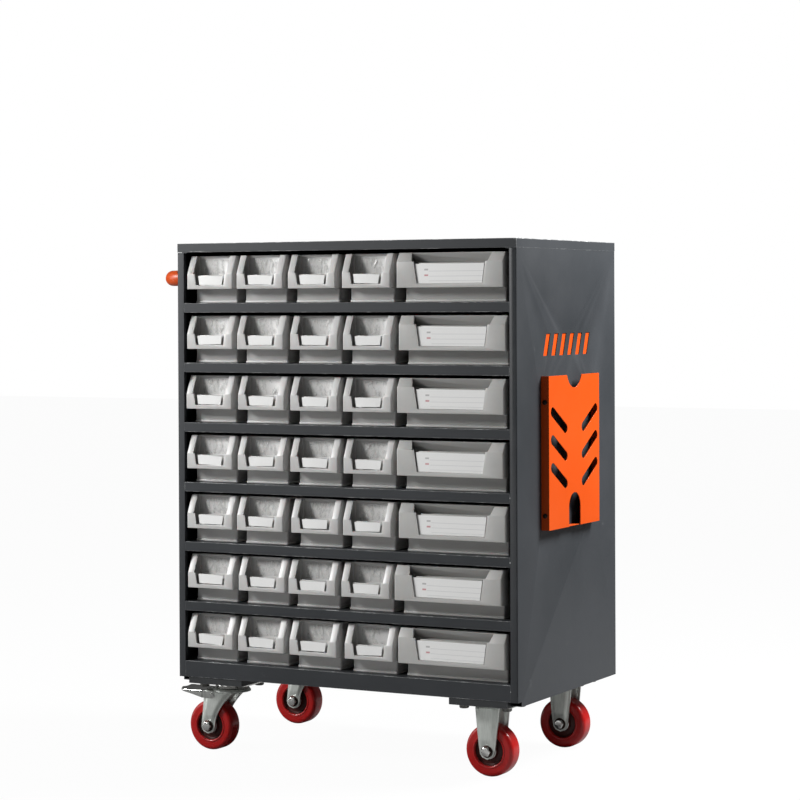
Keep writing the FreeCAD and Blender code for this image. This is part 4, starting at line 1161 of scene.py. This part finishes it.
# %% Pedals
def pedal_surfaces(end):
    """The channel is a grid: along it the side height tapers, across it the section is a U.

    The section starts at the lower edge of one side, climbs it, turns a small radius, crosses
    the tongue and goes down the other side.
    """
    low, high = frame_box(f"brake_pedal_{end}")
    king_y = WHEELS[end, "left"][1]
    tongue_end = low[0] + 50 * MM
    half = (high[1] - low[1]) / 2
    corner = 2.2 * MM
    along = np.linspace(0, 1, 18)
    x = low[0] + 6 * MM + along * (tongue_end - low[0] - 6 * MM)
    tip = np.sqrt(np.clip(1 - (1 - np.clip(along / 0.22, 0, 1)) ** 2, 0, 1))
    half_here = half - 9 * MM * (1 - tip)
    drop = (3.0 + 9.5 * along ** 1.2) * MM
    quarter = np.linspace(0, np.pi / 2, 5)
    section_y = []
    section_z = []
    for share in (1.0, 0.5, 0.0):
        section_y.append(-half_here)
        section_z.append(-corner - share * (drop - corner))
    for angle in quarter[1:]:
        section_y.append(-half_here + corner * (1 - math.cos(angle)))
        section_z.append(np.full_like(along, -corner + corner * math.sin(angle)))
    for share in np.linspace(-0.8, 0.8, 9):
        section_y.append(share * (half_here - corner))
        section_z.append(-0.9 * MM * math.cos(share * math.pi / 2) * np.ones_like(along))
    left_y, left_z = section_y[:7], section_z[:7]
    section_y += [-value for value in left_y[::-1]]
    section_z += left_z[::-1]
    y = np.stack(section_y, 1) + king_y
    lift = 2.6 * MM * (1 - np.clip(along / 0.18, 0, 1)) ** 2
    z = np.stack(section_z, 1) + high[2] + lift[:, None] * 0.6
    grid = np.stack([np.repeat(x[:, None], y.shape[1], 1), y, z], -1)
    middle = np.array([0.0, king_y, 0.0])
    inward = (middle - grid) * [0, 1, 0]
    inward /= np.maximum(np.abs(inward).max(-1, keepdims=True), 1e-9)
    on_side = (np.arange(y.shape[1]) < 3) | (np.arange(y.shape[1]) >= y.shape[1] - 3)
    offset = np.where(on_side[None, :, None], inward * 1.8 * MM, np.array([0, 0, -1.8 * MM]))
    return [slab(grid, offset)], tongue_end, high[2], king_y, half


def ear_surfaces(end, tongue_end, top, king_y, half):
    """The two ears that carry the pedal's sides back to the rivet, each with a round end."""
    pivot_x = frame_box(f"brake_pedal_{end}")[1][0] - 5.5 * MM
    pivot_z = top - 7 * MM
    turn = np.linspace(-np.pi / 2, np.pi / 2, 13)
    nose = np.stack([pivot_x + 5.5 * MM * np.cos(turn), pivot_z + 5.5 * MM * np.sin(turn)], -1)
    root = tongue_end - 1 * MM
    outline = np.concatenate([[(root, top - 12.4 * MM)], nose, [(root, top - 2 * MM)]])
    surfaces = []
    for side in (-1, 1):
        outer = king_y + side * half
        inner = king_y + side * (half - 1.8 * MM)
        surfaces.append(bar(outline, 1, min(outer, inner), max(outer, inner)))
        rivet = in_mm([(0, -1), (3.6, -1), (3.6, 0.4), (2.9, 1.3), (0, 1.6)])
        surfaces.append(closed_loops(turned(rivet, (pivot_x, outer, pivot_z), (0, side, 0), 24)))
    return surfaces


for end in ("front", "rear"):
    channel, *rest = pedal_surfaces(end)
    pressed = joined(channel + ear_surfaces(end, *rest))
    pedal = make_piece(f"brake_pedal_{end}_pressed", pressed, PEDAL_ZINC, f"pedal_{end}")
    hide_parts(f"brake_pedal_{end}")
print("pedals built")

# %% [markdown]
# ## Screws and bolts
# Plate bolts have hexagon heads; the panel screws are pan heads, their cross recess painted shade.

# %% Fasteners
plate_bolts = []
for (end, side), wheel in WHEELS.items():
    plate_x = wheel[0] + (TRAIL if side == "left" else 0.0)
    for i in (-1, 1):
        for j in (-1, 1):
            place = (plate_x + i * PLATE_BOLT_X, wheel[1] + j * PLATE_BOLT_Y, PLATE_UNDERSIDE)
            plate_bolts.append(hexagon_head(place, (0, 0, -1), 13 * MM, 5.3 * MM))
            nut = (place[0], place[1], PLATE_TOP + 2.5 * MM)
            plate_bolts.append(hexagon_head(nut, (0, 0, 1), 13 * MM, 5 * MM))
# The plate bolts get the dark steel, which is painted shade.
bolts = make_piece("plate_bolts", joined(plate_bolts), BOLT_PAINTED_SHADE, "cabinet", smooth_angle=28.0)
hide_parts("caster_bolts")


def pan_head(place, axis):
    """A low domed head."""
    dome = [(0.0, 0.0), (3.8, 0.0), (3.8, 0.6), (3.3, 1.4), (2.2, 1.9), (0.0, 2.0)]
    return closed_loops(turned(in_mm(dome), place, axis, 24))


def cross_recess_shade(place, axis, across):
    """Two thin dark crossed bars, a hair proud of the dome: painted shade that stands in for the recess."""
    axis = np.asarray(axis, float)
    across = np.asarray(across, float)
    other = np.cross(axis, across)
    bars = []
    for long_way, short_way in ((across, other), (other, across)):
        corners = []
        for i, j in ((-1, -1), (1, -1), (1, 1), (-1, 1)):
            corners.append(np.asarray(place) + i * 2.1 * MM * long_way + j * 0.42 * MM * short_way)
        lower = np.stack(corners) + axis * 1.2 * MM
        upper = np.stack(corners) + axis * 2.06 * MM
        bars.append(closed_loops(np.stack([lower, upper])))
    return bars


back_y = cover_high.y
heads = []
dark_heads = []
recess_shade_bars = []
LOWEST_SCREW, HIGHEST_SCREW = 155.0 * MM, 761.8 * MM
for x in (LEFT_FACE + 6 * MM, RIGHT_FACE - 6 * MM):
    for z in np.linspace(LOWEST_SCREW, HIGHEST_SCREW, 5):
        heads.append(pan_head((x, back_y, z), (0, 1, 0)))
        recess_shade_bars += cross_recess_shade((x, back_y, z), (0, 1, 0), (1, 0, 0))
pocket_low, pocket_high = frame_box("side_pocket")
for y, way in ((pocket_low[1], -1), (pocket_high[1], 1)):
    for z in (pocket_low[2] + 22 * MM, pocket_high[2] - 40 * MM):
        place = (RIGHT_FACE + 6.2 * MM, y, z)
        dark_heads.append(pan_head(place, (0, way, 0)))
screws = make_piece("panel_screw_heads", joined(heads), BOLT_STEEL, "cabinet")
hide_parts("panel_screws")
make_piece("pocket_screw_heads", joined(dark_heads), BLACK_SCREW, "cabinet")
# Dark bars on the screw heads: painted shade for the cross recess.
make_piece("panel_screw_recess_shade", joined(recess_shade_bars), WHEEL_CORE, "cabinet")
print("fasteners built")


# %% [markdown]
# ## Weld spots
# Where a shelf lip meets the right flange, a small weld was ground and painted over, and it
# shows as a pale speck.  Each is a lumpy ball: a sphere whose radius varies with direction.


# %% Weld specks
def speck(centre, radius, seed):
    """A sphere grid with its radius varied by three waves in the two angles."""
    phase = np.random.default_rng(seed).uniform(0, 6.28, 3)
    across = np.linspace(0, 2 * np.pi, 12, endpoint=False)[None, :]
    down = np.linspace(0.15, np.pi - 0.15, 8)[:, None]
    lumpy = 1 + 0.22 * np.sin(2 * across + phase[0]) + 0.18 * np.sin(3 * down + phase[1])
    lumpy = lumpy * radius * (1 + 0.1 * np.cos(4 * across + phase[2]))
    x = lumpy * np.sin(down) * np.cos(across)
    y = lumpy * np.sin(down) * np.sin(across) * 0.5
    z = lumpy * np.cos(down) * 1.3
    return closed_loops(np.stack([x, y, z], -1) + np.asarray(centre))


speck_places = []
for row in (2, 4, 5, 7):
    low, high = frame_box(f"large_drawer_r{row}")
    speck_places.append((RIGHT_FACE - 12 * MM, FRONT_FACE, low[2] - (3 + row) * MM))
specks = [speck(place, (0.5 + 0.12 * (i % 3)) * MM, i) for i, place in enumerate(speck_places)]
make_piece("weld_specks", joined(specks), PRIMER, "cabinet")
print("specks:", len(specks))

# %% [markdown]
# At the top left corner the paint has chipped along the seam under the cover, down to the
# pale primer.  The chip is a thin ribbon along the seam whose height varies with two waves.


# %% Chipped paint on the seam
def chip(start, length, height, phase):
    """A ribbon on the front face: half height is height times a sum of waves, zero at its ends."""
    share = np.linspace(0, 1, 40)
    waves = 0.6 + 0.25 * np.sin(9 * share + phase) + 0.2 * np.sin(23 * share + 2 * phase)
    half = height / 2 * waves * np.clip(8 * share * (1 - share), 0, 1)
    x = start[0] + share * length
    edges = [np.stack([x, np.full_like(x, start[1]), start[2] + side * half], -1) for side in (-1, 1)]
    grid = np.stack(edges)
    return slab(grid, np.array([0.0, 0.3 * MM, 0.0]))


seam_z = cover_low.z
chips = [chip((LEFT_FACE - 0.1 * MM, FRONT_FACE - 0.12 * MM, seam_z), 9.5 * MM, 1.7 * MM, 0.4),
         chip((LEFT_FACE + 22 * MM, FRONT_FACE - 0.12 * MM, seam_z + 1.4 * MM), 30 * MM, 0.5 * MM, 2.0)]
make_piece("seam_chips", joined(chips), PRIMER, "cabinet")

# %% [markdown]
# ## Floor, light and camera
# A plain pale floor, a soft light in front on the left, one behind on the right, two weak
# fills, and a camera at standing distance.  None of this is part of the object.


# %% Stage
def floor():
    """A pale, matt floor, lit so evenly that hardly any shadow is left on it.

    What the camera sees of it is mostly its own even glow; what lights the object from
    below is its plain matt paint.
    """
    mesh = bpy.data.meshes.new("floor")
    reach = 12.0
    mesh.from_pydata([(-reach, -reach, 0), (reach, -reach, 0), (reach, reach, 0), (-reach, reach, 0)], [],
                     [(0, 1, 2, 3)])
    material, tree, shader = new_material("floor_paint", Base_Color=colour(0.22, 0.22, 0.22), Roughness=0.9)
    glow = add_node(tree, "ShaderNodeEmission", {"Color": colour(1, 1, 1), "Strength": 1.04})
    seen = tree.nodes.new("ShaderNodeLightPath").outputs["Is Camera Ray"]
    share = arithmetic(tree, "MULTIPLY", seen, 0.93)
    mix = add_node(tree, "ShaderNodeMixShader", {0: share, 1: shader.outputs[0], 2: glow.outputs[0]})
    tree.links.new(mix.outputs[0], tree.nodes["Material Output"].inputs["Surface"])
    mesh.materials.append(material)
    ground = bpy.data.objects.new("floor", mesh)
    bpy.context.scene.collection.objects.link(ground)


def soft_light(name, place, aim, size, watts):
    """A square area light that looks at a point."""
    light = bpy.data.lights.new(name, "AREA")
    light.shape = "RECTANGLE"
    light.size, light.size_y = size
    light.energy = watts
    lamp = bpy.data.objects.new(name, light)
    lamp.location = place
    lamp.rotation_euler = (Vector(aim) - Vector(place)).to_track_quat("-Z", "Y").to_euler()
    bpy.context.scene.collection.objects.link(lamp)
    return lamp


floor()
AIM = (MIDDLE.x, MIDDLE.y, 0.5)
soft_light("front_left_soft_box", (-1.80, -1.55, 1.55), AIM, (0.6, 0.6), 62.0)
soft_light("right_back_soft_box", (1.35, 0.75, 1.85), AIM, (0.8, 0.8), 128.0)
soft_light("left_strip", (-2.6, -1.2, 0.75), AIM, (0.4, 1.5), 12.0)
soft_light("low_front_fill", (-1.3, -3.4, 0.8), AIM, (1.6, 0.9), 6.0)

world = bpy.data.worlds.new("studio")
bpy.context.scene.world = world
world.use_nodes = True
sky = world.node_tree
background = sky.nodes["Background"]
background.inputs["Color"].default_value = colour(1.0, 1.0, 1.0)
seen = sky.nodes.new("ShaderNodeLightPath").outputs["Is Camera Ray"]
sky.links.new(remap(sky, seen, 0.0, 1.0, 0.10, 1.0), background.inputs["Strength"])
bpy.context.scene.view_settings.view_transform = "Standard"

# %% Camera
CAMERA_DISTANCE = 3.900
CAMERA_AZIMUTH = math.radians(27.99)
CAMERA_HEIGHT = 0.719
LOOK_AZIMUTH = math.radians(27.934)
LOOK_DOWN = math.radians(0.479)
ROLL = -0.0041

camera_data = bpy.data.cameras.new("camera")
camera_data.sensor_width = 36.0
camera_data.lens = 108.74
camera_data.shift_y = -0.0955
camera = bpy.data.objects.new("camera", camera_data)
look = Vector((-math.sin(LOOK_AZIMUTH) * math.cos(LOOK_DOWN), math.cos(LOOK_AZIMUTH) * math.cos(LOOK_DOWN),
               -math.sin(LOOK_DOWN)))
right = Vector((math.cos(LOOK_AZIMUTH), math.sin(LOOK_AZIMUTH), 0.0))
up = right.cross(look)
tilted_right = right * math.cos(ROLL) + up * math.sin(ROLL)
tilted_up = up * math.cos(ROLL) - right * math.sin(ROLL)
turn = Matrix((tilted_right, tilted_up, -look)).transposed()
camera.matrix_world = Matrix.Translation((MIDDLE.x + CAMERA_DISTANCE * math.sin(CAMERA_AZIMUTH),
                                          MIDDLE.y - CAMERA_DISTANCE * math.cos(CAMERA_AZIMUTH),
                                          CAMERA_HEIGHT)) @ turn.to_4x4()
bpy.context.scene.collection.objects.link(camera)
bpy.context.scene.camera = camera
